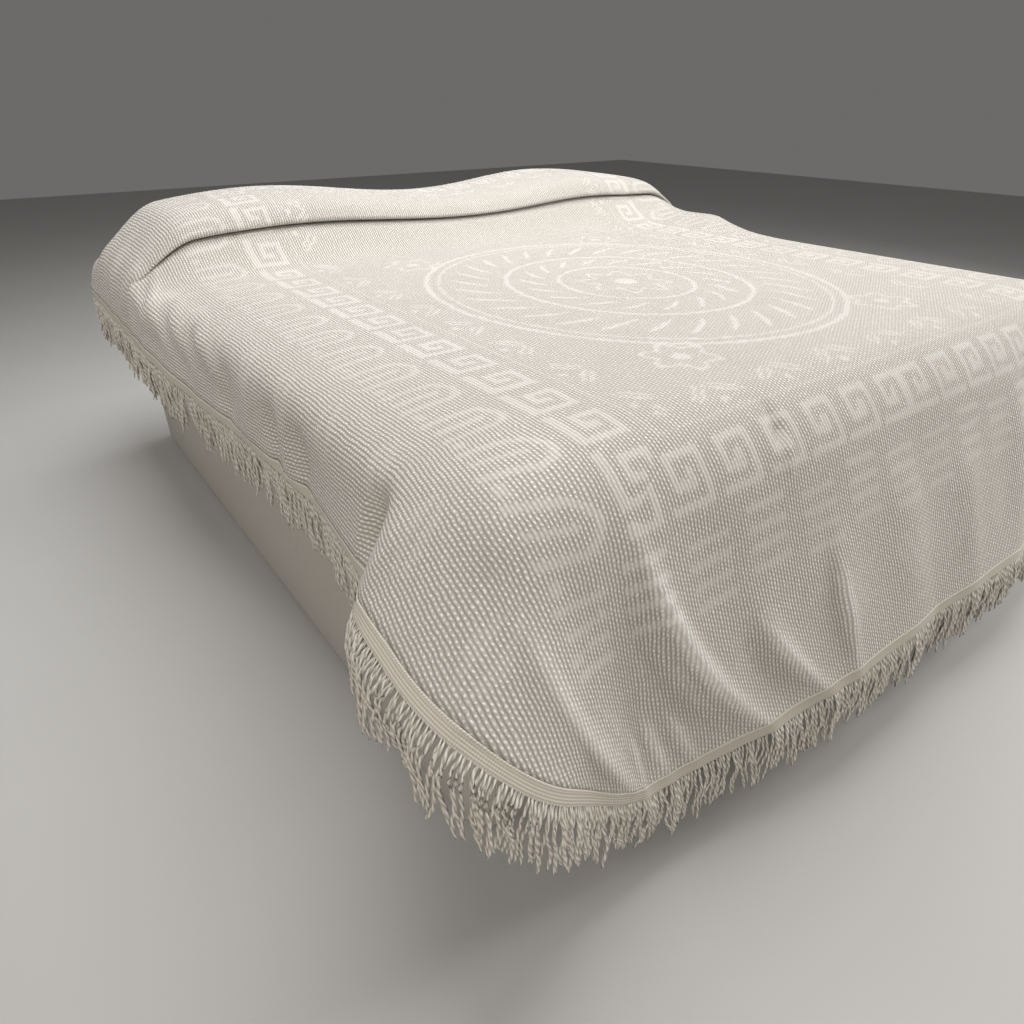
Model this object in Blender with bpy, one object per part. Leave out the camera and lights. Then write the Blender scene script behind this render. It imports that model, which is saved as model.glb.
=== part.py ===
"""A candlewick bedspread laid over a made bed: the cloth, its fringe and what it lies on.

Metres, +Z up. The origin is on the floor under the middle of the bed, +Y runs to the head of the bed
and -X is the side nearest in the usual view. The cloth is worked out from its own flat coordinates:
a runs across it and b along it, both measured on the cloth, so a drape is a function of (a, b).
"""
import math
from collections import namedtuple

import bmesh
import bpy
import numpy as np

# Bed sizes
BASE_HALF = (0.915, 0.990)
BASE_HEIGHT = 0.3350
BASE_CORNER = 0.060
BED_HALF_WIDTH = 0.935
BED_FOOT = -1.018
BED_HEAD = 1.005
BED_TOP = 0.640
BED_CORNER = 0.110
SHOULDER_SIDE = 0.205
SHOULDER_FOOT = 0.155
SHOULDER_HEAD = 0.020
SHOULDER_DROP = 0.065
SEAT = 0.0003

# Cloth sizes, measured on the flat cloth
FLAT_A = 0.730
FLAT_B = 0.833
HEM_A = 1.077
HEM_B = 1.472
CORNER = 0.404
SHEET = 0.0030
CLOTH_Z = BED_TOP + SEAT

# How the cloth turns down past the flat part: degrees below level, by place
SIDE_HANG = ((-0.83, 73.0), (-0.60, 86.0), (-0.25, 81.0), (0.15, 68.0), (0.45, 73.0))
CORNER_HANG = ((0.0, 73.0), (8.0, 62.5), (22.0, 44.0), (33.0, 41.0), (45.0, 38.0), (56.0, 52.5), (68.0, 67.5),
               (80.0, 72.0), (90.0, 73.5))
FOOT_HANG = ((0.0, 73.5), (0.10, 72.2), (0.20, 70.0), (0.50, 66.0), (1.20, 73.0))
SIDE_TURN = (0.158, 0.105)
FOOT_TURN = (0.043, 0.266)
HEAD_SHIFT = 0.050
CROWN = 12.0
CROWN_RUN = 0.190
TURN_STEPS = 32

# The roll over the pillows: arc on the cloth, place along the bed from the tuck line,
# share of the tuck's depth, share of the roll's height, opening of the tuck
TUCK_Y = 0.413
TUCK_DEPTH = 0.050
ROLL_START = TUCK_Y - 0.200
Section = namedtuple("Section", "arc y tuck rise gap")
ROLL = (
    Section(0.000, -0.200, 0.00, 0.000, 0.0000),
    Section(0.050, -0.150, 0.00, 0.006, 0.0000),
    Section(0.102, -0.098, 0.00, 0.070, 0.0000),
    Section(0.156, -0.047, 0.00, 0.260, 0.0000),
    Section(0.196, -0.014, 0.00, 0.440, 0.0000),
    Section(0.217, 0.004, 0.00, 0.510, 0.0000),
    Section(0.238, 0.004, 0.40, 0.535, 0.0000),
    Section(0.262, 0.004, 0.92, 0.540, 0.0000),
    Section(0.272, 0.004, 1.00, 0.540, 0.0060),
    Section(0.282, 0.004, 0.90, 0.540, 0.0120),
    Section(0.306, 0.005, 0.35, 0.550, 0.0125),
    Section(0.330, 0.001, 0.00, 0.600, 0.0090),
    Section(0.355, 0.010, 0.00, 0.720, 0.0000),
    Section(0.385, 0.032, 0.00, 0.840, 0.0000),
    Section(0.430, 0.072, 0.00, 0.930, 0.0000),
    Section(0.540, 0.175, 0.00, 0.990, 0.0000),
    Section(0.680, 0.310, 0.00, 0.980, 0.0000),
    Section(0.800, 0.422, 0.00, 0.890, 0.0000),
    Section(0.880, 0.482, 0.00, 0.680, 0.0000),
    Section(0.940, 0.508, 0.00, 0.380, 0.0000),
    Section(0.990, 0.524, 0.00, 0.100, 0.0000),
    Section(1.020, 0.540, 0.00, 0.010, 0.0000),
    Section(1.050, 0.567, 0.00, 0.000, 0.0000),
)
HEAD_B = ROLL_START + ROLL[-1].arc
ROLL_FADE = (0.240, 0.120)
TUCK_FADE = (0.840, 0.120)
SMALL_TUCK = 0.005
# Crest of the roll: one low swell over both pillows and a hump over each
SWELL_HEIGHT = 0.112
SWELL_END = 1.045
SWELL_FALL = 0.230
Hump = namedtuple("Hump", "x height spread")
HUMPS = (Hump(-0.540, 0.054, 0.380), Hump(0.520, 0.050, 0.310))
# The cloth is pushed up beside the right-hand pillow's end
Lift = namedtuple("Lift", "x y spread_x spread_y height")
LIFTS = (Lift(0.930, 0.235, 0.150, 0.190, 0.040),)

# Folds of the cloth: a line from its inner end to the hem with a sideways bow, the width of the
# fold to its left and right going outward, its height, and whether it runs out over the hem
Fold = namedtuple("Fold", "top_a top_b hem_a hem_b bow left right height open")
FOLDS = (
    Fold(-0.710, -1.020, -0.500, -1.480, 0.044, 0.070, 0.060, 0.020, True),
    Fold(-0.745, -1.080, -0.555, -1.480, 0.040, 0.024, 0.024, -0.006, True),
    Fold(-0.930, -1.050, -0.760, -1.480, 0.064, 0.045, 0.055, 0.014, True),
    Fold(-0.520, -1.220, -0.365, -1.480, 0.010, 0.042, 0.038, 0.011, True),
    Fold(-0.545, -1.280, -0.420, -1.480, 0.012, 0.030, 0.030, -0.004, True),
    Fold(-0.275, -1.180, -0.290, -1.480, 0.000, 0.026, 0.045, 0.009, True),
    Fold(-0.350, -0.970, -0.388, -1.110, 0.000, 0.018, 0.016, -0.007, False),
    Fold(-0.060, -1.120, -0.090, -1.480, 0.000, 0.060, 0.070, 0.012, True),
    Fold(0.180, -1.160, 0.130, -1.480, 0.010, 0.050, 0.040, 0.010, True),
    Fold(0.420, -1.060, 0.330, -1.480, -0.016, 0.050, 0.036, 0.015, True),
    Fold(0.700, -1.040, 0.560, -1.480, -0.030, 0.055, 0.040, 0.019, True),
    Fold(0.930, -1.060, 0.800, -1.480, -0.055, 0.055, 0.050, 0.014, True),
    Fold(-0.940, -0.930, -1.080, -0.945, 0.000, 0.034, 0.024, 0.010, True),
    Fold(-0.920, -0.835, -1.090, -0.850, 0.000, 0.048, 0.042, -0.022, False),
    Fold(-0.930, -0.975, -1.020, -1.180, -0.020, 0.035, 0.040, -0.007, False),
    Fold(-0.900, -0.540, -1.080, -0.560, 0.000, 0.050, 0.050, -0.009, True),
    Fold(-0.900, -0.430, -1.080, -0.425, 0.000, 0.035, 0.040, -0.006, True),
    Fold(-0.900, -0.195, -1.080, -0.190, 0.000, 0.045, 0.050, -0.008, True),
    Fold(-0.900, -0.020, -1.080, -0.030, 0.000, 0.045, 0.045, 0.008, True),
    Fold(-0.900, 0.130, -1.080, 0.115, 0.000, 0.045, 0.045, 0.009, True),
    Fold(-0.900, 0.275, -1.080, 0.265, 0.000, 0.045, 0.045, 0.010, True),
    Fold(-0.940, 0.440, -1.080, 0.430, 0.000, 0.050, 0.050, 0.010, True),
    Fold(-0.940, 0.620, -1.080, 0.600, 0.000, 0.055, 0.050, 0.009, True),
    Fold(-0.940, 0.810, -1.080, 0.800, 0.000, 0.055, 0.055, 0.008, True),
    Fold(0.950, -0.900, 1.080, -0.905, 0.000, 0.030, 0.034, 0.009, True),
    Fold(0.930, -0.790, 1.080, -0.780, 0.000, 0.055, 0.050, -0.019, True),
    Fold(0.900, -0.500, 1.080, -0.480, 0.000, 0.060, 0.050, -0.009, True),
    Fold(0.900, -0.250, 1.080, -0.260, 0.000, 0.050, 0.060, 0.008, True),
    Fold(0.900, 0.020, 1.080, 0.010, 0.000, 0.050, 0.050, -0.008, True),
    Fold(0.900, 0.200, 1.080, 0.190, 0.000, 0.050, 0.045, 0.009, True),
    Fold(0.940, 0.400, 1.080, 0.380, 0.000, 0.050, 0.055, 0.010, True),
    Fold(0.940, 0.590, 1.080, 0.600, 0.000, 0.050, 0.050, 0.009, True),
    Fold(0.940, 0.790, 1.080, 0.780, 0.000, 0.055, 0.055, 0.008, True),
)
FOLD_RISE = 0.45
FOLD_AT_HEM = 0.45

# Rows and columns of the cloth's solid
CORNER_ANGLES = (90.0, 74.0, 62.0, 50.0, 38.0, 26.0, 13.0)
ROW_RUNS = ((-(HEM_B - CORNER), -0.780, 7), (-0.780, ROLL_START, 12), (ROLL_START, ROLL_START + 0.196, 5))
TUCK_ROWS = (0.196, 0.217, 0.240, 0.262, 0.272, 0.283, 0.306, 0.330, 0.355)
ROLL_ROWS = (0.385, 0.430, 0.490, 0.550, 0.620, 0.680, 0.740, 0.800, 0.850, 0.890, 0.930, 0.970, 1.010, 1.050)
COLUMNS = (0.11, 0.22, 0.29, 0.35, 0.40, 0.45, 0.50, 0.55, 0.60, 0.65, 0.70, 0.75, 0.80, 0.84, 0.88,
           0.91, 0.94, 0.97, 1.00)

# Fringe
TAPE_WIDTH = 0.022
TAPE = 0.0020
TAPE_INSET = 0.0005
TAPE_GAP = 0.0005
LOCK_WIDTH = 0.013
LOCK_THICK = 0.0045
LOCK_TIP = 0.60
LOCK_LENGTH = 0.100
LOCK_BEND = 0.32
LOCK_SPREAD = 0.10
LOCK_PITCH = 0.034

# Pillows under the roll: place along the bed from the tuck line and share of the roll's height
PILLOW_PROFILE = ((-0.075, 0.02), (-0.047, 0.15), (0.000, 0.42), (0.056, 0.455), (0.064, 0.86),
                  (0.145, 0.955), (0.285, 0.945), (0.380, 0.84), (0.440, 0.62), (0.475, 0.30),
                  (0.487, 0.10))
PILLOW_HALF = 0.425
PILLOW_CENTRES = {"pillow_left": -0.455, "pillow_right": 0.455}
PILLOW_EDGE = 0.004
PILLOW_MIDDLE = 0.200
PILLOW_PINCH = 0.15
PILLOW_STEPS = 10

# The fringe's runs, each from one place on the cloth's edge to the next: at the head end, where the
# side's drop turns into the corner's flare, and where the rounded corner meets the foot
FLARE_B = -0.905
FRINGE_RUNS = ("fringe_left", "fringe_corner_left", "fringe_foot", "fringe_corner_right", "fringe_right")

# Material: colour, roughness
FINISH = {
    "spread": ((0.78, 0.75, 0.69), 0.92),
    "fringe": ((0.76, 0.72, 0.65), 0.90),
    "mattress": ((0.82, 0.82, 0.80), 0.85),
    "bed_base": ((0.55, 0.53, 0.50), 0.90),
    "pillow": ((0.86, 0.86, 0.84), 0.88),
}


def smooth(t):
    """From 0 to 1 with level ends: 3t^2 - 2t^3, held at both ends."""
    t = np.clip(t, 0.0, 1.0)
    return t * t * (3.0 - 2.0 * t)


def bump(t):
    """1 at zero, dying away on both sides as exp(-t^2)."""
    return np.exp(-t * t)


def by_table(value, rows):
    """Straight-line reading of a two-column table."""
    table = np.array(rows)
    return np.interp(value, table[:, 0], table[:, 1])


def roll_column(arc, name):
    """Smooth curve through one column of the roll's table, by arc: cubic, level at its turning points."""
    knots = np.array([row.arc for row in ROLL])
    values = np.array([getattr(row, name) for row in ROLL])
    rises = np.diff(values) / np.diff(knots)
    inner = np.where(rises[1:] * rises[:-1] > 0, (rises[1:] + rises[:-1]) / 2, 0.0)
    slopes = np.concatenate([rises[:1], inner, rises[-1:]])
    i = np.clip(np.searchsorted(knots, arc, side="right") - 1, 0, len(knots) - 2)
    width = knots[i + 1] - knots[i]
    t = np.clip((arc - knots[i]) / width, 0.0, 1.0)
    start = (2 * t**3 - 3 * t**2 + 1) * values[i] + (t**3 - 2 * t**2 + t) * width * slopes[i]
    end = (3 * t**2 - 2 * t**3) * values[i + 1] + (t**3 - t**2) * width * slopes[i + 1]
    return start + end


def crest(x):
    """Height of the roll over the pillows at x."""
    height = SWELL_HEIGHT * smooth((SWELL_END - np.abs(x)) / SWELL_FALL)
    for hump in HUMPS:
        height = height + hump.height * bump((x - hump.x) / hump.spread)
    return height


def slope_angle(run, turn, a, b):
    """Angle of the cloth below level, run metres past the flat part, turn radians round from side to foot."""
    side = by_table(b, SIDE_HANG)
    corner = by_table(np.degrees(turn), CORNER_HANG)
    foot = by_table(FLAT_A - np.abs(a), FOOT_HANG)
    hang = np.radians(np.where(b >= -FLAT_B, side, np.where(np.abs(a) <= FLAT_A, foot, corner)))
    reach = (np.cos(turn)**4 + np.sin(turn)**4)**-0.25
    share = smooth(turn / (math.pi / 2))
    shift = HEAD_SHIFT * smooth(b / 0.35)
    start = (1 - share) * (SIDE_TURN[0] + shift) + share * FOOT_TURN[0]
    width = (1 - share) * SIDE_TURN[1] + share * FOOT_TURN[1]
    crown = math.radians(CROWN) * (1 - share)
    inner = crown * smooth(run / reach / (CROWN_RUN + shift))
    return inner + (hang - crown) * smooth((run / reach - start) / width)


def fall(a, b):
    """Point and outward normal of the cloth without its roll and folds: the slope summed along the run."""
    side = np.where(a < 0, -1.0, 1.0)
    over_side = np.maximum(np.abs(a) - FLAT_A, 0.0)
    over_foot = np.maximum(-b - FLAT_B, 0.0)
    run = np.hypot(over_side, over_foot)
    turn = np.arctan2(over_foot, over_side)
    steps = (np.arange(TURN_STEPS) + 0.5) / TURN_STEPS
    angles = slope_angle(run[..., None] * steps, turn[..., None], a[..., None], b[..., None])
    out = run * np.cos(angles).mean(-1)
    down = run * np.sin(angles).mean(-1)
    last = slope_angle(run, turn, a, b)
    out_x = np.where(run > 0, side * np.cos(turn), 0.0)
    out_y = np.where(run > 0, -np.sin(turn), 0.0)
    x = side * np.minimum(np.abs(a), FLAT_A) + out_x * out
    y = np.maximum(b, -FLAT_B) + out_y * out
    normal = np.stack([out_x * np.sin(last), out_y * np.sin(last), np.cos(last)], -1)
    return x, y, -down, normal


def fold_height(a, b):
    """Sum of the folds: a bump across each fold's bowed line, grown along it."""
    total = np.zeros(a.shape)
    for fold in FOLDS:
        along_a = fold.hem_a - fold.top_a
        along_b = fold.hem_b - fold.top_b
        length = math.hypot(along_a, along_b)
        t = ((a - fold.top_a) * along_a + (b - fold.top_b) * along_b) / length**2
        middle = np.clip(t, 0.0, 1.0)
        across = ((a - fold.top_a) * along_b - (b - fold.top_b) * along_a) / length
        across = across - fold.bow * 4 * middle * (1 - middle)
        grow = smooth(t / FOLD_RISE)
        if fold.open:
            grow = grow * (1 - (1 - FOLD_AT_HEM) * smooth((t - 0.6) / 0.4))
        else:
            grow = grow * smooth((1 - t) / FOLD_RISE)
        width = np.where(across > 0, fold.left, fold.right)
        total = total + fold.height * grow * bump(across / width)
    return total


def drape(a, b):
    """Underside of the draped cloth at the flat cloth's (a, b), in the bed's frame."""
    a, b = np.broadcast_arrays(np.asarray(a, float), np.asarray(b, float))
    x, y, z, normal = fall(a, b)
    arc = np.maximum(b - ROLL_START, 0.0)
    over_side = np.maximum(np.abs(a) - FLAT_A, 0.0)
    here = 1 - smooth((over_side - ROLL_FADE[0]) / ROLL_FADE[1])
    tuck = TUCK_DEPTH * (1 - smooth((np.abs(x) - TUCK_FADE[0]) / TUCK_FADE[1]))
    rolled = roll_column(arc, "y") + tuck * roll_column(arc, "tuck")
    straight = ROLL[0].y + (ROLL[-1].y - ROLL[0].y) * arc / ROLL[-1].arc
    y = np.where(arc > 0, TUCK_Y + here * rolled + (1 - here) * straight, y)
    z = z + crest(x) * here * roll_column(arc, "rise")
    for lift in LIFTS:
        z = z + lift.height * bump((x - lift.x) / lift.spread_x) * bump((y - lift.y) / lift.spread_y)
    z = z + smooth(tuck / SMALL_TUCK) * roll_column(arc, "gap") * (arc > 0)
    points = np.stack([x, y, z + CLOTH_Z], -1)
    return points + normal * fold_height(a, b)[..., None]


def outward(a, b):
    """Unit normal of the draped cloth, from points 1 mm to each side of it."""
    step = 0.001
    across = drape(a + step, b) - drape(a - step, b)
    along = drape(a, b + step) - drape(a, b - step)
    normal = np.cross(across, along)
    return normal / np.linalg.norm(normal, axis=-1, keepdims=True)


def hem_half(b):
    """Half width of the cut cloth at b, drawn in round the foot corners."""
    past = np.clip(-b - (HEM_B - CORNER), 0.0, CORNER)
    return HEM_A - CORNER + np.sqrt(CORNER**2 - past**2)


def cloth_rows():
    """b of each crosswise row, from the foot hem to the head hem."""
    corner = -(HEM_B - CORNER) - CORNER * np.sin(np.radians(CORNER_ANGLES))
    runs = [np.linspace(start, end, steps, endpoint=False) for start, end, steps in ROW_RUNS]
    roll = [ROLL_START + np.array(TUCK_ROWS), ROLL_START + np.array(ROLL_ROWS)]
    return np.concatenate([corner] + runs + roll)


def cloth_columns():
    """Share of the half width at each lengthwise column, from left to right."""
    right = np.array(COLUMNS)
    return np.concatenate([-right[::-1], [0.0], right])


# The cut edge that carries fringe, as one path from the left head end round the foot to the right
SIDE_RUN = HEAD_B + HEM_B - CORNER
ARC_RUN = CORNER * math.pi / 2
FOOT_RUN = 2 * (HEM_A - CORNER)
EDGE_RUN = 2 * (SIDE_RUN + ARC_RUN) + FOOT_RUN


def edge_point(s, out):
    """Flat-cloth (a, b) at s metres along the edge path, out metres beyond the edge."""
    half = EDGE_RUN / 2
    sign = np.where(s < half, -1.0, 1.0)
    s = half - np.abs(s - half)
    round_angle = np.clip((s - SIDE_RUN) / CORNER, 0.0, math.pi / 2)
    a = HEM_A - CORNER + (CORNER + out) * np.cos(round_angle)
    b = -(HEM_B - CORNER) - (CORNER + out) * np.sin(round_angle)
    b = np.where(s < SIDE_RUN, HEAD_B - s, b)
    a = a - np.maximum(s - SIDE_RUN - ARC_RUN, 0.0)
    return sign * a, b


def edge_stations():
    """Path lengths of the cloth solid's own edge points, so that the tape's inner edge matches it."""
    rows = cloth_rows()
    side = HEAD_B - rows[rows > -(HEM_B - CORNER)][::-1]
    angles = np.radians(np.sort(np.append(np.array(CORNER_ANGLES), 0.0)))
    arc = SIDE_RUN + CORNER * angles
    foot = SIDE_RUN + ARC_RUN + (HEM_A - CORNER) * (cloth_columns()[1:-1] + 1)
    left = np.concatenate([side, arc])
    return np.concatenate([left, foot, (EDGE_RUN - left)[::-1]])


def material(name, colour, roughness):
    """Plain Principled material."""
    made = bpy.data.materials.new(name)
    made.use_nodes = True
    shader = made.node_tree.nodes["Principled BSDF"]
    shader.inputs["Base Color"].default_value = (*colour, 1.0)
    shader.inputs["Roughness"].default_value = roughness
    made.diffuse_color = (*colour, 1.0)
    return made


def add_object(name, verts, faces, finish, sharp=50.0):
    """One closed mesh object, faces turned outward, shaded smooth up to the sharp angle."""
    mesh = bpy.data.meshes.new(name)
    mesh.from_pydata([tuple(map(float, v)) for v in verts], [], faces)
    work = bmesh.new()
    work.from_mesh(mesh)
    bmesh.ops.recalc_face_normals(work, faces=work.faces)
    bmesh.ops.triangulate(work, faces=work.faces)
    work.to_mesh(mesh)
    work.free()
    mesh.shade_smooth()
    mesh.set_sharp_from_angle(angle=math.radians(sharp))
    colour, roughness = FINISH[finish]
    mesh.materials.append(material(name, colour, roughness))
    made = bpy.data.objects.new(name, mesh)
    bpy.context.scene.collection.objects.link(made)
    return made


def add_spread():
    """The cloth: a grid of rows and columns on the drape, given its thickness and closed at its edges."""
    rows = cloth_rows()
    shares = cloth_columns()
    b = np.repeat(rows[:, None], len(shares), 1)
    a = hem_half(b) * shares
    under = drape(a, b)
    upper = under + outward(a, b) * SHEET
    verts = np.concatenate([under.reshape(-1, 3), upper.reshape(-1, 3)])
    high, wide = a.shape
    index = np.arange(high * wide).reshape(high, wide)
    top = index + high * wide
    faces = []
    for i in range(high - 1):
        for j in range(wide - 1):
            faces.append((top[i, j], top[i, j + 1], top[i + 1, j + 1], top[i + 1, j]))
            faces.append((index[i, j], index[i + 1, j], index[i + 1, j + 1], index[i, j + 1]))
    rim = list(index[0]) + list(index[1:, -1]) + list(index[-1, -2::-1]) + list(index[-2:0:-1, 0])
    for low, following in zip(rim, rim[1:] + rim[:1]):
        faces.append((low, following, following + high * wide, low + high * wide))
    faces = [tuple(map(int, face)) for face in faces]
    return add_object("spread", verts, faces, "spread")


def zip_rows(inner, inner_at, outer, outer_at):
    """Triangles between two rows of points that share their two end places but not their spacing."""
    faces = []
    i = j = 0
    while i < len(inner) - 1 or j < len(outer) - 1:
        step_inner = j == len(outer) - 1
        if not step_inner and i < len(inner) - 1:
            step_inner = inner_at[i + 1] < outer_at[j + 1]
        if step_inner:
            faces.append((inner[i], outer[j], inner[i + 1]))
            i += 1
        else:
            faces.append((inner[i], outer[j], outer[j + 1]))
            j += 1
    return faces


def add_fringe(name, start, end, seed):
    """Tape heading along the hem from start to end, with a row of hanging locks grown from its lower rim."""
    chance = np.random.default_rng(seed)
    stations = edge_stations()
    start, end = start + SEAT, end - SEAT
    inner_at = np.concatenate([[start], stations[(stations > start + SEAT) & (stations < end - SEAT)], [end]])
    count = round((end - start) / LOCK_PITCH)
    pitch = (end - start) / count
    middles = start + pitch * (np.arange(count) + 0.5 + chance.uniform(-0.15, 0.15, count))
    widths = LOCK_WIDTH * chance.uniform(0.8, 1.2, count)
    roots = np.stack([middles - widths / 2, middles + widths / 2], 1).ravel()
    outer_at = np.concatenate([[start], roots, [end]])
    verts = []
    strips = []
    for at, out in ((inner_at, TAPE_GAP), (outer_at, TAPE_GAP + TAPE_WIDTH)):
        a, b = edge_point(at, out)
        low = drape(a, b)
        up = outward(a, b)
        for lift in (TAPE_INSET, TAPE_INSET + TAPE):
            strips.append(list(range(len(verts), len(verts) + len(at))))
            verts.extend(low + up * lift)
    inner_low, inner_high, outer_low, outer_high = strips
    faces = zip_rows(inner_high, inner_at, outer_high, outer_at)
    faces += [face[::-1] for face in zip_rows(inner_low, inner_at, outer_low, outer_at)]
    for k in range(len(inner_at) - 1):
        faces.append((inner_low[k], inner_low[k + 1], inner_high[k + 1], inner_high[k]))
    for k in range(0, len(outer_at) - 1, 2):
        faces.append((outer_low[k], outer_high[k], outer_high[k + 1], outer_low[k + 1]))
    for k in (0, -1):
        faces.append((inner_low[k], inner_high[k], outer_high[k], outer_low[k]))
    a_in, b_in = edge_point(middles, TAPE_GAP)
    a_out, b_out = edge_point(middles, TAPE_GAP + TAPE_WIDTH)
    leaving = drape(a_out, b_out) - drape(a_in, b_in)
    leaving /= np.linalg.norm(leaving, axis=1, keepdims=True)
    lengths = LOCK_LENGTH * chance.uniform(0.90, 1.08, count)
    drift = chance.normal(0.0, LOCK_SPREAD, (count, 2))
    for k in range(count):
        root = [outer_low[2 * k + 1], outer_low[2 * k + 2], outer_high[2 * k + 2], outer_high[2 * k + 1]]
        faces += add_lock(verts, root, leaving[k], lengths[k], drift[k])
    return add_object(name, verts, faces, "fringe", sharp=60.0)


def add_lock(verts, root, leaving, length, drift):
    """One four-sided lock: it leaves the tape along the cloth, bends to hang straight and narrows to its tip."""
    corners = [np.array(verts[i]) for i in root]
    across = corners[1] - corners[0]
    width = np.linalg.norm(across)
    across[2] *= 0.5
    across /= np.linalg.norm(across)
    hanging = np.array([drift[0], drift[1], -1.0])
    hanging /= np.linalg.norm(hanging)
    bending = leaving + hanging
    bending /= np.linalg.norm(bending)
    knee = sum(corners) / 4 + bending * length * LOCK_BEND
    tip = knee + hanging * length * (1 - LOCK_BEND)
    faces = []
    ring = root
    for centre, share, heading in ((knee, 1.0, bending + hanging), (tip, LOCK_TIP, hanging)):
        side = across - heading * np.dot(across, heading) / np.dot(heading, heading)
        side /= np.linalg.norm(side)
        through = np.cross(side, heading)
        through /= np.linalg.norm(through)
        if np.dot(through, corners[3] - corners[0]) < 0:
            through = -through
        half_wide = side * width * share / 2
        half_thick = through * LOCK_THICK * share / 2
        following = list(range(len(verts), len(verts) + 4))
        verts.extend([centre - half_wide - half_thick, centre + half_wide - half_thick,
                      centre + half_wide + half_thick, centre - half_wide + half_thick])
        for i in range(4):
            faces.append((ring[i], ring[(i + 1) % 4], following[(i + 1) % 4], following[i]))
        ring = following
    faces.append(tuple(ring))
    return faces


def rounded_outline(left, right, front, back, radius, steps=5):
    """Plan outline of a rectangle with round corners, counter-clockwise."""
    points = []
    for x, y, first in ((right, back, 0), (left, back, 90), (left, front, 180), (right, front, 270)):
        centre_x = x - math.copysign(radius, x)
        centre_y = y - math.copysign(radius, y)
        for k in range(steps + 1):
            angle = math.radians(first + 90 * k / steps)
            points.append((centre_x + radius * math.cos(angle), centre_y + radius * math.sin(angle)))
    return points


def loft(rings):
    """Vertices and faces of a closed solid through rings of (outline, height), bottom first."""
    verts = []
    faces = []
    count = len(rings[0][0])
    for outline, height in rings:
        verts += [(x, y, height) for x, y in outline]
    for level in range(len(rings) - 1):
        for k in range(count):
            here = level * count + k
            there = level * count + (k + 1) % count
            faces.append((here, there, there + count, here + count))
    faces.append(tuple(range(count))[::-1])
    faces.append(tuple(range((len(rings) - 1) * count, len(rings) * count)))
    return verts, faces


def add_mattress():
    """Mattress: upright sides, a small bottom rounding and soft elliptic shoulders to a flat top."""
    rings = []
    for inset, height in ((0.020, BASE_HEIGHT + SEAT), (0.005, BASE_HEIGHT + 0.010), (0.0, BASE_HEIGHT + 0.030)):
        outline = rounded_outline(-BED_HALF_WIDTH + inset, BED_HALF_WIDTH - inset, BED_FOOT + inset,
                                  BED_HEAD - inset, BED_CORNER)
        rings.append((outline, height))
    for k in range(7):
        angle = math.radians(15.0 * k)
        inset = 1 - math.cos(angle)
        height = BED_TOP - SHOULDER_DROP * (1 - math.sin(angle))
        half = BED_HALF_WIDTH - SHOULDER_SIDE * inset
        foot = BED_FOOT + SHOULDER_FOOT * inset
        radius = BED_CORNER - (BED_CORNER - 0.030) * inset
        rings.append((rounded_outline(-half, half, foot, BED_HEAD - SHOULDER_HEAD * inset, radius), height))
    verts, faces = loft(rings)
    return add_object("mattress", verts, faces, "mattress")


def add_base():
    """Plain bed base from the floor to the mattress, its top and bottom edges eased."""
    rings = []
    for inset, height in ((0.006, 0.0), (0.0, 0.006), (0.0, BASE_HEIGHT - 0.012), (0.012, BASE_HEIGHT)):
        half_x = BASE_HALF[0] - inset
        half_y = BASE_HALF[1] - inset
        rings.append((rounded_outline(-half_x, half_x, -half_y, half_y, BASE_CORNER), height))
    verts, faces = loft(rings)
    return add_object("bed_base", verts, faces, "bed_base")


def add_pillow(name):
    """A pillow under the roll: sections across its length, flat below and domed above, inside the cloth."""
    profile = np.array(PILLOW_PROFILE)
    ends = np.sin(np.linspace(-math.pi / 2, math.pi / 2, PILLOW_STEPS + 1))
    across = PILLOW_CENTRES[name] + PILLOW_HALF * ends
    sunk = fall(across, np.full(len(across), TUCK_Y))[2]
    verts = []
    for x, drop, end in zip(across, sunk, ends):
        pinch = 1 - PILLOW_PINCH * abs(end)**6
        along = TUCK_Y + PILLOW_MIDDLE + (profile[:, 0] - PILLOW_MIDDLE) * pinch
        rise = (crest(x) * profile[:, 1] + drop) * math.sqrt(1 - end**4)
        height = CLOTH_Z + np.maximum(rise, PILLOW_EDGE)
        verts += [(x, y, z) for y, z in zip(along, height)]
        verts += [(x, along[-1], CLOTH_Z), (x, along[0], CLOTH_Z)]
    count = len(profile) + 2
    faces = [tuple(range(count)), tuple(range(len(verts) - count, len(verts)))[::-1]]
    for level in range(len(across) - 1):
        for k in range(count):
            here = level * count + k
            there = level * count + (k + 1) % count
            faces.append((here, here + count, there + count, there))
    return add_object(name, verts, faces, "pillow")


def main():
    """Clear the scene's objects and build every piece."""
    for old in list(bpy.data.objects):
        bpy.data.objects.remove(old, do_unlink=True)
    add_base()
    add_mattress()
    for name in PILLOW_CENTRES:
        add_pillow(name)
    add_spread()
    flare = HEAD_B - FLARE_B
    foot = SIDE_RUN + ARC_RUN
    stops = (0.0, flare, foot, EDGE_RUN - foot, EDGE_RUN - flare, EDGE_RUN)
    for seed, name in enumerate(FRINGE_RUNS):
        add_fringe(name, stops[seed], stops[seed + 1], seed)


main()
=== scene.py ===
# %% [markdown]
# # A candlewick bedspread on a made bed
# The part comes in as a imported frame: the cloth, its fringe, the mattress, the base and two pillows as plain
# solids. This file keeps their places and sizes and gives each one its real surface. It reads as a lesson:
# every step first says what the piece is on the real object and how it could be made.

import math
from collections import namedtuple

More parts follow.
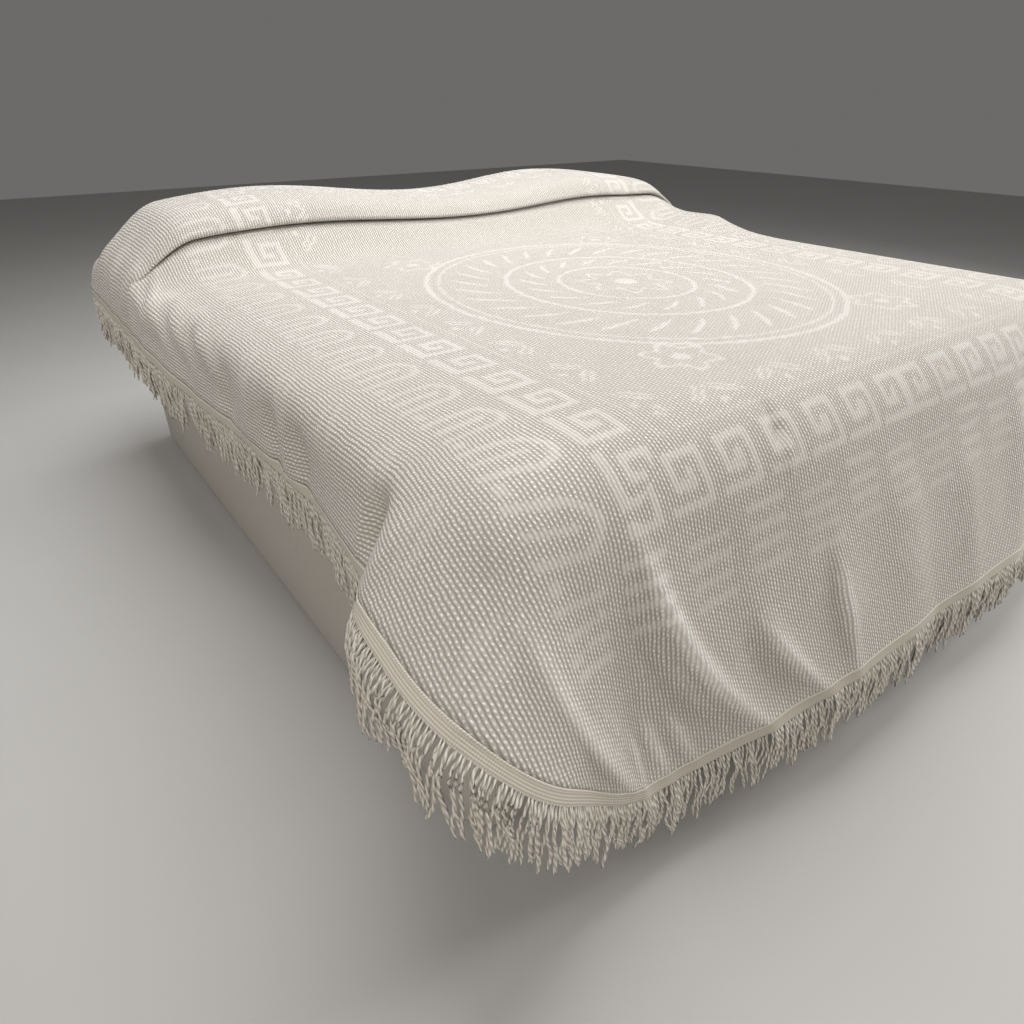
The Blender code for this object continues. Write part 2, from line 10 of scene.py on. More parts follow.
import bpy
import numpy as np
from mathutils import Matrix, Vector


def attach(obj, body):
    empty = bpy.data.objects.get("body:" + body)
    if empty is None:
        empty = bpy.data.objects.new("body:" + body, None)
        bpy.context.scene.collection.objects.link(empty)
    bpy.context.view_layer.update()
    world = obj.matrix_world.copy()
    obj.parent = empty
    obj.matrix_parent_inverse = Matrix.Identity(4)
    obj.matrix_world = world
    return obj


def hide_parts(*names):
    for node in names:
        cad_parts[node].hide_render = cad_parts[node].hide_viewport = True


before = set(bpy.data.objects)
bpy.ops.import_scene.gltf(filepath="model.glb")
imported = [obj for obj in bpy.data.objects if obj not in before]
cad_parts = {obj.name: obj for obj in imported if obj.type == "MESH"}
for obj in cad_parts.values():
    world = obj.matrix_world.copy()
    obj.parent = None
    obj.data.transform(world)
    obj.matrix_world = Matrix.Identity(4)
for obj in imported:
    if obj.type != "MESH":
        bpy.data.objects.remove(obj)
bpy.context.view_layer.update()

# %% [markdown]
# ## Camera, floor and light
# The photograph is taken by hand from beside the foot, looking down over the near corner with a wide lens,
# so parallel tuft rows run together quickly. The camera was worked out from those rows. Soft panels of light
# stand for the room, and none shows itself in the picture. A wide ceiling light keeps the level top brightest
# and a narrow lamp lifts the roll. A window panel on the right rakes across the foot drop and models its
# folds, a second one lights the far side, and two weak panels on the left stand for pale walls.

# %% The camera
IMAGE_SIDE = 1024
FOCAL_PIXELS = 709.0
SENSOR_WIDTH = 36.0
CAMERA_PLACE = (-1.294, -1.601, 1.043)
CAMERA_TURN = (59.5, 0.0, -36.2)

scene = bpy.context.scene
eye = bpy.data.cameras.new("photo_camera")
eye.sensor_width = SENSOR_WIDTH
eye.lens = FOCAL_PIXELS / IMAGE_SIDE * SENSOR_WIDTH
photo_camera = bpy.data.objects.new("photo_camera", eye)
photo_camera.location = CAMERA_PLACE
photo_camera.rotation_euler = [math.radians(angle) for angle in CAMERA_TURN]
scene.collection.objects.link(photo_camera)
scene.camera = photo_camera
scene.view_settings.view_transform = "Standard"
scene.view_settings.look = "None"
print("lens", round(eye.lens, 2), "mm")

# %% Soft light
Panel = namedtuple("Panel", "name place aim size power colour")
PANELS = (
    Panel("ceiling_light", (0.0, 0.2, 3.0), (0.0, 0.0, 0.5), (2.6, 2.6), 97.0, (0.99, 0.995, 1.0)),
    Panel("right_window", (3.2, -1.9, 1.5), (0.0, -0.8, 0.4), (1.0, 1.0), 104.0, (1.0, 0.985, 0.96)),
    Panel("far_window", (2.6, 2.2, 2.4), (0.0, -0.2, 0.5), (1.6, 1.6), 14.0, (1.0, 0.99, 0.97)),
    Panel("head_lamp", (0.3, 0.92, 1.75), (0.2, 0.92, 0.75), (1.8, 0.4), 2.8, (1.0, 0.98, 0.95)),
    Panel("left_wall", (-3.2, 0.8, 1.8), (0.0, 0.0, 0.5), (2.0, 1.6), 18.0, (1.0, 0.97, 0.93)),
    Panel("near_wall", (-2.6, -3.0, 1.6), (0.0, -0.5, 0.4), (2.0, 1.6), 38.0, (1.0, 0.95, 0.88)),
)


def add_panel(panel):
    """A rectangular area light at its place, turned to face its aim and hidden from the camera."""
    lamp = bpy.data.lights.new(panel.name, "AREA")
    lamp.shape = "RECTANGLE"
    lamp.size, lamp.size_y = panel.size
    lamp.energy = panel.power
    lamp.color = panel.colour
    made = bpy.data.objects.new(panel.name, lamp)
    made.location = panel.place
    towards = Vector(panel.aim) - Vector(panel.place)
    made.rotation_euler = towards.to_track_quat("-Z", "Y").to_euler()
    made.visible_camera = False
    scene.collection.objects.link(made)


for panel in PANELS:
    add_panel(panel)

ROOM_COLOUR = (1.0, 0.975, 0.94, 1.0)
ROOM_GLOW = 0.15
room = bpy.data.worlds.new("pale_room")
room.use_nodes = True
background = room.node_tree.nodes["Background"]
background.inputs["Color"].default_value = ROOM_COLOUR
background.inputs["Strength"].default_value = ROOM_GLOW
scene.world = room
print(len(PANELS), "panels of light,", sum(panel.power for panel in PANELS), "W in all")

# %% [markdown]
# ## Fields: writing a material as sums
# A cloth's pattern is easier to read as arithmetic than as a picture of wires. A Field wraps one output of
# the material's nodes, and each sum written on it adds the Math node that does it. The material is still an
# ordinary node tree at the end: it could be drawn by hand, and it moves with the cloth because it starts from
# the cloth's own flat coordinates.

# %% The Field helper


def one_node(operation):
    """A Field's method that adds one Math node of this operation."""
    return lambda field, *others: field.math(operation, *others)


class Field:
    """A number that varies over a surface, held as a node's output; arithmetic on it adds Math nodes."""

    def __init__(self, tree, socket):
        self.tree = tree
        self.socket = socket

    def math(self, operation, *others):
        """Add one Math node whose first input is this field."""
        node = self.tree.nodes.new("ShaderNodeMath")
        node.operation = operation
        for slot, part in enumerate((self, *others)):
            if isinstance(part, Field):
                self.tree.links.new(part.socket, node.inputs[slot])
            else:
                node.inputs[slot].default_value = part
        return Field(self.tree, node.outputs[0])

    __add__ = __radd__ = one_node("ADD")
    __mul__ = __rmul__ = one_node("MULTIPLY")
    __sub__ = one_node("SUBTRACT")
    __truediv__ = one_node("DIVIDE")
    __abs__ = one_node("ABSOLUTE")
    floor, fract = one_node("FLOOR"), one_node("FRACT")
    sin, cos, root = one_node("SINE"), one_node("COSINE"), one_node("SQRT")
    least, most = one_node("MINIMUM"), one_node("MAXIMUM")
    power, bearing = one_node("POWER"), one_node("ARCTAN2")
    below = one_node("LESS_THAN")

    def __rsub__(self, other):
        return self.math("MULTIPLY_ADD", -1.0, other)

    def near(self, centre, reach):
        """1 within reach of centre, else 0."""
        return abs(self - centre).below(reach)

    def wrap(self, period):
        """Distance into the current repeat of the period."""
        return (self * (1.0 / period)).fract() * period

    def wave(self, period):
        """Smooth wave from 0 to 1, one in each period."""
        return (self * (2 * math.pi / period)).sin() * 0.5 + 0.5

    def ribs(self, period):
        """Round ribs with sharp grooves between them, one in each period."""
        return abs((self * (math.pi / period)).sin())

    def ramp(self, start, end):
        """Smooth rise from 0 at start to 1 at end."""
        node = self.tree.nodes.new("ShaderNodeMapRange")
        node.interpolation_type = "SMOOTHSTEP"
        self.tree.links.new(self.socket, node.inputs["Value"])
        node.inputs["From Min"].default_value = start
        node.inputs["From Max"].default_value = end
        return Field(self.tree, node.outputs["Result"])


# %% Noise, colour and material helpers


def hypot(first, second):
    """Length of a two-part field: root of the sum of squares."""
    return (first * first + second * second).root()


def mix(share, low, high):
    """low where share is 0, high where it is 1."""
    return low + share * (high - low)


def weighed(shares, *fields):
    """Sum of the fields, each times its share."""
    total = fields[0] * shares[0]
    for share, field in zip(shares[1:], fields[1:]):
        total = total + field * share
    return total


def as_vector(*parts):
    """Two or three numbers or fields, the first of them a field, as one vector output."""
    tree = parts[0].tree
    node = tree.nodes.new("ShaderNodeCombineXYZ")
    for slot, part in enumerate(parts):
        if isinstance(part, Field):
            tree.links.new(part.socket, node.inputs[slot])
        else:
            node.inputs[slot].default_value = part
    return node.outputs[0]


def cell_chance(x, y):
    """A random number from 0 to 1 for each whole-numbered (x, y)."""
    node = x.tree.nodes.new("ShaderNodeTexWhiteNoise")
    node.noise_dimensions = "2D"
    x.tree.links.new(as_vector(x, y), node.inputs["Vector"])
    return Field(x.tree, node.outputs["Value"])


def noise(x, y, z=0.0, scale=1.0, detail=2.0):
    """Soft noise from 0 to 1 with about scale blotches a metre; z can pick another slice of it."""
    node = x.tree.nodes.new("ShaderNodeTexNoise")
    node.inputs["Scale"].default_value = scale
    node.inputs["Detail"].default_value = detail
    x.tree.links.new(as_vector(x, y, z), node.inputs["Vector"])
    return Field(x.tree, node.outputs["Fac"])


SPECULAR = 0.25
SHEEN_ROUGHNESS = 0.5


def start_material(name, roughness, sheen=0.0):
    """A material with one Principled shader; returns it with its tree and shader."""
    made = bpy.data.materials.new(name)
    made.use_nodes = True
    tree = made.node_tree
    shader = tree.nodes["Principled BSDF"]
    shader.inputs["Roughness"].default_value = roughness
    shader.inputs["Specular IOR Level"].default_value = SPECULAR
    shader.inputs["Sheen Weight"].default_value = sheen
    shader.inputs["Sheen Roughness"].default_value = SHEEN_ROUGHNESS
    return made, tree, shader


def parts_of(tree, vector):
    """The three fields of a vector output."""
    split = tree.nodes.new("ShaderNodeSeparateXYZ")
    tree.links.new(vector, split.inputs[0])
    return [Field(tree, output) for output in split.outputs]


def read_map(tree, name):
    """The two fields of a UV map."""
    source = tree.nodes.new("ShaderNodeUVMap")
    source.uv_map = name
    return parts_of(tree, source.outputs["UV"])[:2]


def read_place(tree):
    """The three fields of the Object coordinates."""
    return parts_of(tree, tree.nodes.new("ShaderNodeTexCoord").outputs["Object"])


def read_value(tree, name):
    """The field of a number kept on the mesh's points."""
    source = tree.nodes.new("ShaderNodeAttribute")
    source.attribute_name = name
    return Field(tree, source.outputs["Fac"])


def colour_between(share, low, high):
    """Colour output: low where share is 0, high where it is 1."""
    node = share.tree.nodes.new("ShaderNodeMix")
    node.data_type = "RGBA"
    share.tree.links.new(share.socket, node.inputs["Factor"])
    for name, colour in (("A", low), ("B", high)):
        entry = [slot for slot in node.inputs if slot.name == name and slot.type == "RGBA"][0]
        entry.default_value = (*colour, 1.0)
    return [slot for slot in node.outputs if slot.type == "RGBA"][0]


def finish_surface(shader, colour, height, depth):
    """Give the shader its colour and a bump whose height field is depth metres tall."""
    tree = height.tree
    tree.links.new(colour, shader.inputs["Base Color"])
    relief = tree.nodes.new("ShaderNodeBump")
    relief.inputs["Strength"].default_value = 1.0
    relief.inputs["Distance"].default_value = depth
    tree.links.new(height.socket, relief.inputs["Height"])
    tree.links.new(relief.outputs["Normal"], shader.inputs["Normal"])


# %% [markdown]
# ## Meshes from whole arrays
# Every new piece is a surface worked out with numpy: a grid of points, or a section carried along a path. The
# points go into the mesh in one call, and the faces come from the grid's own numbering, so no loop walks
# over vertices. UV values are in metres on the cloth, so a tuft keeps its real size wherever the cloth folds.

# %% Grid meshes


def grid_faces(high, wide, closed=False):
    """Quads of a high by wide grid of vertices; closed joins the last column to the first."""
    index = np.arange(high * wide).reshape(high, wide)
    if closed:
        index = np.concatenate([index, index[:, :1]], 1)
    return np.stack([index[:-1, :-1], index[:-1, 1:], index[1:, 1:], index[1:, :-1]], -1).reshape(-1, 4)


def capped(points):
    """Quads between stacked rings of points, with one face over the first ring and one over the last."""
    high, wide = points.shape[:2]
    faces = grid_faces(high, wide, closed=True).tolist()
    faces.append(list(range(wide))[::-1])
    faces.append(list(range((high - 1) * wide, high * wide)))
    return faces


def add_piece(name, points, faces, material, maps=(), values=()):
    """Mesh object from an array of points and their faces; maps are (name, a pair for each point) and values
    are (name, a number for each point)."""
    points = np.asarray(points, float).reshape(-1, 3)
    mesh = bpy.data.meshes.new(name)
    mesh.from_pydata(points.tolist(), [], [list(face) for face in faces])
    corners = np.empty(len(mesh.loops), int)
    mesh.loops.foreach_get("vertex_index", corners)
    for map_name, pairs in maps:
        pairs = np.asarray(pairs, float).reshape(-1, 2)[corners]
        mesh.uv_layers.new(name=map_name).uv.foreach_set("vector", pairs.ravel())
    for value_name, numbers in values:
        layer = mesh.attributes.new(value_name, "FLOAT", "POINT")
        layer.data.foreach_set("value", np.asarray(numbers, float).ravel())
    mesh.shade_smooth()
    mesh.validate()
    mesh.materials.append(material)
    made = bpy.data.objects.new(name, mesh)
    scene.collection.objects.link(made)
    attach(made, "root")
    print(name, len(points), "points,", len(faces), "faces")
    return made


# %% [markdown]
# ## The drape
# The cloth is one flat sheet that lies on the mattress, is drawn up over two pillows with a tuck along their
# front, and falls over both sides and the foot. It could be simulated, but a simulation never lands on the
# folds of one photograph. Here the drape is a function from the flat cloth's (a, b), across and along, to the
# room: the same rules that the solid follows, with the same named sizes.

# %% Sizes of the bed and of the flat cloth
BED_HALF_WIDTH = 0.935
BED_FOOT = -1.018
BED_HEAD = 1.005
BED_TOP = 0.640
BED_CORNER = 0.110
BASE_HALF = (0.915, 0.990)
BASE_HEIGHT = 0.335
SEAT = 0.0003
FLAT_A, FLAT_B = 0.730, 0.833
HEM_A, HEM_B = 1.077, 1.472
CORNER = 0.404
SHEET = 0.0030
CLOTH_Z = BED_TOP + SEAT

# %% How the cloth turns down: degrees below level, by place
SIDE_HANG = ((-0.83, 73.0), (-0.60, 86.0), (-0.25, 81.0), (0.15, 68.0), (0.45, 73.0))
CORNER_HANG = ((-10.0, 73.0), (0.0, 73.0), (8.0, 62.5), (22.0, 44.0), (33.0, 41.0), (45.0, 38.0),
               (56.0, 52.5), (68.0, 67.5), (80.0, 72.0), (90.0, 73.5), (100.0, 73.5))
FOOT_HANG = ((-0.10, 73.5), (0.0, 73.5), (0.10, 72.2), (0.20, 70.0), (0.50, 66.0), (1.20, 73.0))
SIDE_TURN = (0.158, 0.105)
FOOT_TURN = (0.043, 0.266)
HEAD_SHIFT = 0.050
CROWN = 12.0
CROWN_RUN = 0.190
SQUARENESS = 4
TURN_STEPS = 32

# %% The roll over the pillows, as a section along the bed
TUCK_Y = 0.413
TUCK_DEPTH = 0.050
ROLL_START = TUCK_Y - 0.200
Section = namedtuple("Section", "arc y tuck rise gap")
ROLL = tuple(Section(*row) for row in (
    (0, -.2, 0, 0, 0), (.05, -.15, 0, .006, 0), (.102, -.098, 0, .07, 0), (.156, -.047, 0, .26, 0),
    (.196, -.014, 0, .44, 0), (.217, .004, 0, .51, 0), (.238, .004, .4, .535, 0),
    (.262, .004, .92, .54, 0), (.272, .004, 1, .54, .0036), (.282, .004, .9, .54, .007),
    (.306, .005, .35, .55, .007), (.33, .003, 0, .6, .0056), (.355, .012, 0, .72, 0),
    (.385, .033, 0, .84, 0), (.43, .072, 0, .93, 0), (.54, .175, 0, .99, 0), (.68, .31, 0, .98, 0),
    (.8, .422, 0, .89, 0), (.88, .482, 0, .68, 0), (.94, .508, 0, .38, 0), (.99, .524, 0, .1, 0),
    (1.02, .54, 0, .01, 0), (1.05, .567, 0, 0, 0),
))
HEAD_B = ROLL_START + ROLL[-1].arc
ROLL_FADE = (0.240, 0.120)
TUCK_FADE = (0.840, 0.120)
SMALL_TUCK = 0.005
SWELL_HEIGHT, SWELL_END, SWELL_FALL = 0.112, 1.045, 0.230
Hump = namedtuple("Hump", "x height spread")
HUMPS = (Hump(-0.540, 0.054, 0.380), Hump(0.520, 0.050, 0.310))
Lift = namedtuple("Lift", "x y spread_x spread_y height")
LIFT = Lift(0.930, 0.235, 0.150, 0.190, 0.040)

# %% The folds, from inner end to hem
Fold = namedtuple("Fold", "top_a top_b hem_a hem_b bow left right height open")
FOLDS = tuple(Fold(*row) for row in (
    # near foot corner
    (-.71, -1.02, -.5, -1.48, .044, .08, .062, .016, True),
    (-.745, -1.08, -.555, -1.48, .04, .022, .022, -.006, True),
    (-.93, -1.05, -.76, -1.48, .064, .045, .055, .014, True),
    (-.52, -1.22, -.365, -1.48, .01, .044, .04, .008, True),
    (-.545, -1.28, -.42, -1.48, .012, .03, .03, -.004, True),
    # foot drop
    (-.275, -1.18, -.29, -1.48, 0, .026, .045, .009, True),
    (-.346, -.965, -.38, -1.11, 0, .012, .012, -.0075, False),
    (-.35, -1.04, -.375, -1.12, 0, .02, .014, .006, False),
    (-.06, -1.12, -.09, -1.48, 0, .06, .07, .012, True),
    (.18, -1.16, .13, -1.48, .01, .05, .04, .01, True),
    # far foot corner
    (.42, -1.06, .33, -1.48, -.016, .05, .036, .015, True),
    (.7, -1.04, .56, -1.48, -.03, .055, .04, .019, True),
    (.93, -1.06, .8, -1.48, -.055, .055, .05, .014, True),
    # near side by the corner
    (-.94, -.93, -1.08, -.945, 0, .034, .02, .009, True),
    (-.935, -.84, -1.09, -.856, 0, .036, .026, -.028, False),
    (-.96, -.79, -1.09, -.8, 0, .014, .014, .007, False),
    (-.93, -.975, -1.02, -1.18, -.02, .035, .04, -.007, False),
    # near side's pockets
    (-.95, -.52, -1.11, -.56, 0, .02, .026, -.022, False),
    (-.95, -.475, -1.11, -.49, 0, .015, .015, .01, False),
    (-.95, -.395, -1.11, -.44, 0, .018, .022, -.02, False),
    (-.94, -.29, -1.11, -.31, 0, .035, .035, .006, False),
    (-.95, -.16, -1.11, -.195, 0, .024, .03, -.015, False),
    # near side's fine ripples at the head
    (-.957, .715, -1.031, .105, 0, .016, .016, .008, False),
    (-.905, .508, -1.055, .045, 0, .015, .015, .0085, False),
    (-.905, .283, -1.05, -.053, 0, .015, .015, .008, False),
    (-.9, .141, -1.04, -.224, 0, .016, .016, .007, False),
    # near side's swells
    (-.9, -.02, -1.08, -.03, 0, .045, .045, .008, True),
    (-.9, .13, -1.08, .115, 0, .045, .045, .009, True),
    (-.9, .275, -1.08, .265, 0, .045, .045, .01, True), (-.94, .44, -1.08, .43, 0, .05, .05, .01, True),
    (-.94, .62, -1.08, .6, 0, .055, .05, .009, True), (-.94, .81, -1.08, .8, 0, .055, .055, .008, True),
    # far side
    (.95, -.9, 1.08, -.905, 0, .03, .034, .009, True), (.93, -.79, 1.08, -.78, 0, .055, .05, -.019, True),
    (.9, -.5, 1.08, -.48, 0, .06, .05, -.009, True), (.9, -.25, 1.08, -.26, 0, .05, .06, .008, True),
    (.9, .02, 1.08, .01, 0, .05, .05, -.008, True), (.9, .2, 1.08, .19, 0, .05, .045, .009, True),
    (.94, .4, 1.08, .38, 0, .05, .055, .01, True), (.94, .59, 1.08, .6, 0, .05, .05, .009, True),
    (.94, .79, 1.08, .78, 0, .055, .055, .008, True),
))
CREASES = tuple(Fold(*row) for row in (
    (-.706, -1.03, -.5, -1.48, .045, .009, .018, .0085, True),
    (-.93, -1.06, -.762, -1.48, .066, .011, .02, .0055, True),
    (-.5, -1.28, -.365, -1.48, .008, .01, .015, .006, True),
    (-.3, -1.23, -.286, -1.48, 0, .01, .016, .0045, True),
    (-.785, -1.35, -.752, -1.48, 0, .011, .011, .004, True),
    (-.735, -1.34, -.692, -1.48, 0, .01, .01, .0045, True),
    (-.69, -1.36, -.64, -1.48, 0, .009, .01, .004, True),
))
FOLD_RISE = 0.45
FOLD_AT_HEM = 0.45
FOLD_EASE = 0.6
HEAD_SHIFT_RUN = 0.35
PROBE = 0.001

# %% Curves of the drape


def unit(vectors):
    """Vectors scaled to a length of 1."""
    return vectors / np.linalg.norm(vectors, axis=-1, keepdims=True)


def square_to(axis, vectors):
    """The vectors less their part along the axis, scaled to a length of 1."""
    return unit(vectors - axis * (vectors * axis).sum(-1, keepdims=True))


def smooth(t):
    """From 0 to 1 with level ends: 3t^2 - 2t^3, held at both ends."""
    t = np.clip(t, 0.0, 1.0)
    return t * t * (3.0 - 2.0 * t)


def bump(t):
    """1 at zero, dying away on both sides as exp(-t^2)."""
    return np.exp(-t * t)


def by_table(value, rows):
    """Straight-line reading of a two-column table."""
    table = np.array(rows)
    return np.interp(value, table[:, 0], table[:, 1])


def through(knots, values, at):
    """Smooth curve through (knot, value) pairs: cubic between them, level at their turning points."""
    knots, values = np.array(knots), np.array(values)
    rises = np.diff(values) / np.diff(knots)
    inner = np.where(rises[1:] * rises[:-1] > 0, (rises[1:] + rises[:-1]) / 2, 0.0)
    slopes = np.concatenate([rises[:1], inner, rises[-1:]])
    i = np.clip(np.searchsorted(knots, at, side="right") - 1, 0, len(knots) - 2)
    width = knots[i + 1] - knots[i]
    t = np.clip((at - knots[i]) / width, 0.0, 1.0)
    start = (2 * t**3 - 3 * t**2 + 1) * values[i] + (t**3 - 2 * t**2 + t) * width * slopes[i]
    end = (3 * t**2 - 2 * t**3) * values[i + 1] + (t**3 - t**2) * width * slopes[i + 1]
    return start + end


def roll_column(arc, name):
    """One column of the roll's table, read smoothly by arc."""
    return through([row.arc for row in ROLL], [getattr(row, name) for row in ROLL], arc)


def crest(x):
    """Height of the roll over the pillows at x."""
    height = SWELL_HEIGHT * smooth((SWELL_END - np.abs(x)) / SWELL_FALL)
    for hump in HUMPS:
        height = height + hump.height * bump((x - hump.x) / hump.spread)
    return height


# %% The fall past the flat part


def slope_angle(run, turn, a, b):
    """Angle of the cloth below level, run metres past the flat part, turn radians round from side to foot."""
    side = by_table(b, SIDE_HANG)
    corner = through(*zip(*CORNER_HANG), np.degrees(turn))
    foot = through(*zip(*FOOT_HANG), FLAT_A - np.abs(a))
    hang = np.radians(np.where(b >= -FLAT_B, side, np.where(np.abs(a) <= FLAT_A, foot, corner)))
    reach = (np.cos(turn)**SQUARENESS + np.sin(turn)**SQUARENESS)**(-1 / SQUARENESS)
    share = smooth(turn / (math.pi / 2))
    shift = HEAD_SHIFT * smooth(b / HEAD_SHIFT_RUN)
    start = (1 - share) * (SIDE_TURN[0] + shift) + share * FOOT_TURN[0]
    width = (1 - share) * SIDE_TURN[1] + share * FOOT_TURN[1]
    crown = math.radians(CROWN) * (1 - share)
    inner = crown * smooth(run / reach / (CROWN_RUN + shift))
    return inner + (hang - crown) * smooth((run / reach - start) / width)


def fall(a, b):
    """Point and outward normal of the cloth without its roll and folds: the slope summed along the run."""
    side = np.where(a < 0, -1.0, 1.0)
    over_side = np.maximum(np.abs(a) - FLAT_A, 0.0)
    over_foot = np.maximum(-b - FLAT_B, 0.0)
    run = np.hypot(over_side, over_foot)
    turn = np.arctan2(over_foot, over_side)
    steps = (np.arange(TURN_STEPS) + 0.5) / TURN_STEPS
    angles = slope_angle(run[..., None] * steps, turn[..., None], a[..., None], b[..., None])
    out = run * np.cos(angles).mean(-1)
    down = run * np.sin(angles).mean(-1)
    last = slope_angle(run, turn, a, b)
    out_x = np.where(run > 0, side * np.cos(turn), 0.0)
    out_y = np.where(run > 0, -np.sin(turn), 0.0)
    x = side * np.minimum(np.abs(a), FLAT_A) + out_x * out
    y = np.maximum(b, -FLAT_B) + out_y * out
    normal = np.stack([out_x * np.sin(last), out_y * np.sin(last), np.cos(last)], -1)
    return x, y, -down, normal


# %% Folds, roll and lift together


def fold_height(a, b, folds):
    """Sum of the folds: a bump across each fold's bowed line, grown along it."""
    total = np.zeros(a.shape)
    for fold in folds:
        along_a = fold.hem_a - fold.top_a
        along_b = fold.hem_b - fold.top_b
        length = math.hypot(along_a, along_b)
        t = ((a - fold.top_a) * along_a + (b - fold.top_b) * along_b) / length**2
        middle = np.clip(t, 0.0, 1.0)
        across = ((a - fold.top_a) * along_b - (b - fold.top_b) * along_a) / length
        across = across - fold.bow * 4 * middle * (1 - middle)
        grow = smooth(t / FOLD_RISE)
        if fold.open:
            grow = grow * (1 - (1 - FOLD_AT_HEM) * smooth((t - FOLD_EASE) / (1 - FOLD_EASE)))
        else:
            grow = grow * smooth((1 - t) / FOLD_RISE)
        width = np.where(across > 0, fold.left, fold.right)
        total = total + fold.height * grow * bump(across / width)
    return total


def drape(a, b):
    """Underside of the draped cloth at the flat cloth's (a, b), in the bed's frame."""
    a, b = np.broadcast_arrays(np.asarray(a, float), np.asarray(b, float))
    x, y, z, normal = fall(a, b)
    arc = np.maximum(b - ROLL_START, 0.0)
    over_side = np.maximum(np.abs(a) - FLAT_A, 0.0)
    here = 1 - smooth((over_side - ROLL_FADE[0]) / ROLL_FADE[1])
    tuck = TUCK_DEPTH * (1 - smooth((np.abs(x) - TUCK_FADE[0]) / TUCK_FADE[1]))
    rolled = roll_column(arc, "y") + tuck * roll_column(arc, "tuck")
    straight = ROLL[0].y + (ROLL[-1].y - ROLL[0].y) * arc / ROLL[-1].arc
    y = np.where(arc > 0, TUCK_Y + here * rolled + (1 - here) * straight, y)
    z = z + crest(x) * here * roll_column(arc, "rise")
    z = z + LIFT.height * bump((x - LIFT.x) / LIFT.spread_x) * bump((y - LIFT.y) / LIFT.spread_y)
    z = z + smooth(tuck / SMALL_TUCK) * roll_column(arc, "gap") * (arc > 0)
    points = np.stack([x, y, z + CLOTH_Z], -1)
    return points + normal * fold_height(a, b, FOLDS + CREASES)[..., None]


def outward(a, b):
    """Unit normal of the draped cloth, from points 1 mm to each side of it."""
    across = drape(a + PROBE, b) - drape(a - PROBE, b)
    along = drape(a, b + PROBE) - drape(a, b - PROBE)
    return unit(np.cross(across, along))


def hem_half(b):
    """Half width of the cut cloth at b, drawn in round the foot corners."""
    past = np.clip(-b - (HEM_B - CORNER), 0.0, CORNER)
    return HEM_A - CORNER + np.sqrt(CORNER**2 - past**2)


# %% [markdown]
# ## The cloth's weave and tufts
# A candlewick cloth is a plain ground with thick soft yarn pulled up in small loops, one at every crossing
# of a coarse grid: here 6.7 mm apart across the bed and 7.3 mm along it, each column half a step from the
# next. More than a hundred thousand loops would swamp any mesh, so they are a bump and a colour worked out
# in the material from the flat cloth's own coordinates: each column is a soft rib with a narrow gap beside
# it, and each loop is a small dome on its rib. The colour follows the height, so the gaps carry painted
# shade. Where the woven design shows, the yarn lies flat as a float in place of looping up, which reads as a
# smoother, lighter area, with less painted shade.

# %% The tuft grid
PITCH_ACROSS = 0.00668
PITCH_ALONG = 0.00730
Tuft = namedtuple("Tuft", "column row middle_a middle_b off_a off_b")


def tuft_grid(a, b):
    """Whole-numbered column and row of the tuft under (a, b), its middle, and the place within it from
    -0.5 to 0.5. Every second column is set back by half a step."""
    across = a * (1.0 / PITCH_ACROSS)
    column = across.floor()
    shifted = column.wrap(2.0) * 0.5
    along = b * (1.0 / PITCH_ALONG) + shifted
    row = along.floor()
    middle_a = (column + 0.5) * PITCH_ACROSS
    middle_b = (row + 0.5 - shifted) * PITCH_ALONG
    return Tuft(column, row, middle_a, middle_b, across - column - 0.5, along - row - 0.5)


# %% [markdown]
# ## The design
# The cloth carries a quiet tone-on-tone design of old, common kinds: a round medallion with leaf wreaths,
# and bands that follow the hem, from the outside slanted leaves, arches or ladders, a square key and pairs
# of leaves, with a rosette by each quarter of the medallion. It is drawn here from circles, ovals and bars
# in a layout of its own, one step of the drawing for each tuft, as a weaver would chart it, with lines two
# or three tufts wide. Every size below is in metres on the cloth, and d is the distance from its edge.

# %% Motifs of the design


def ring(distance, radius, half):
    """A circle's line of the given half width."""
    return distance.near(radius, half)


LEAF_VEIN = 0.0040


def leaf(x, y, lean, long, wide):
    """A solid oval of the given half length and half width, leaning, with its middle vein left tufted."""
    along = x * math.cos(lean) + y * math.sin(lean)
    across = y * math.cos(lean) - x * math.sin(lean)
    body = hypot(along * (1.0 / long), across * (1.0 / wide)).below(1.0)
    return body * (1.0 - abs(across).below(LEAF_VEIN))


LEAF_SLANT = 0.42


def wreath(angle, distance, radius, leaves, length, width):
    """Leaves set round a circle, each a slanted oval: repeats of the angle against the distance."""
    turn = (angle * (leaves / (2 * math.pi))).fract() - 0.5
    slant = turn + (distance - radius) * (LEAF_SLANT / length)
    return hypot(slant * (1.0 / width), (distance - radius) * (1.0 / length)).below(1.0)


ARCH_RADIUS, ARCH_LINE = 0.034, 0.0070
ARCH_BAR, BAR_LIFT = 0.0066, 0.008
ARCH_DOT, DOT_LIFT = 0.0110, 0.018


def arches(d, t, foot, crown, period):
    """A row of arches, each two legs and a half ring with a bar inside, and a dot between the legs' feet."""
    x = t.wrap(period) - period / 2
    middle, half = (foot + crown) / 2, (crown - foot) / 2
    arch = ring(hypot(x, d - crown), ARCH_RADIUS, ARCH_LINE) * (1.0 - d.below(crown))
    legs = ring(abs(x), ARCH_RADIUS, ARCH_LINE) * d.near(middle, half)
    bar = abs(x).below(ARCH_BAR) * d.near(middle + BAR_LIFT, half)
    dot = hypot(abs(x) - period / 2, d - foot - DOT_LIFT).below(ARCH_DOT)
    return arch.most(legs).most(bar).most(dot)


RUNGS = 4
RUNG_SHARE, RUNG_HALF = 0.46, 0.17


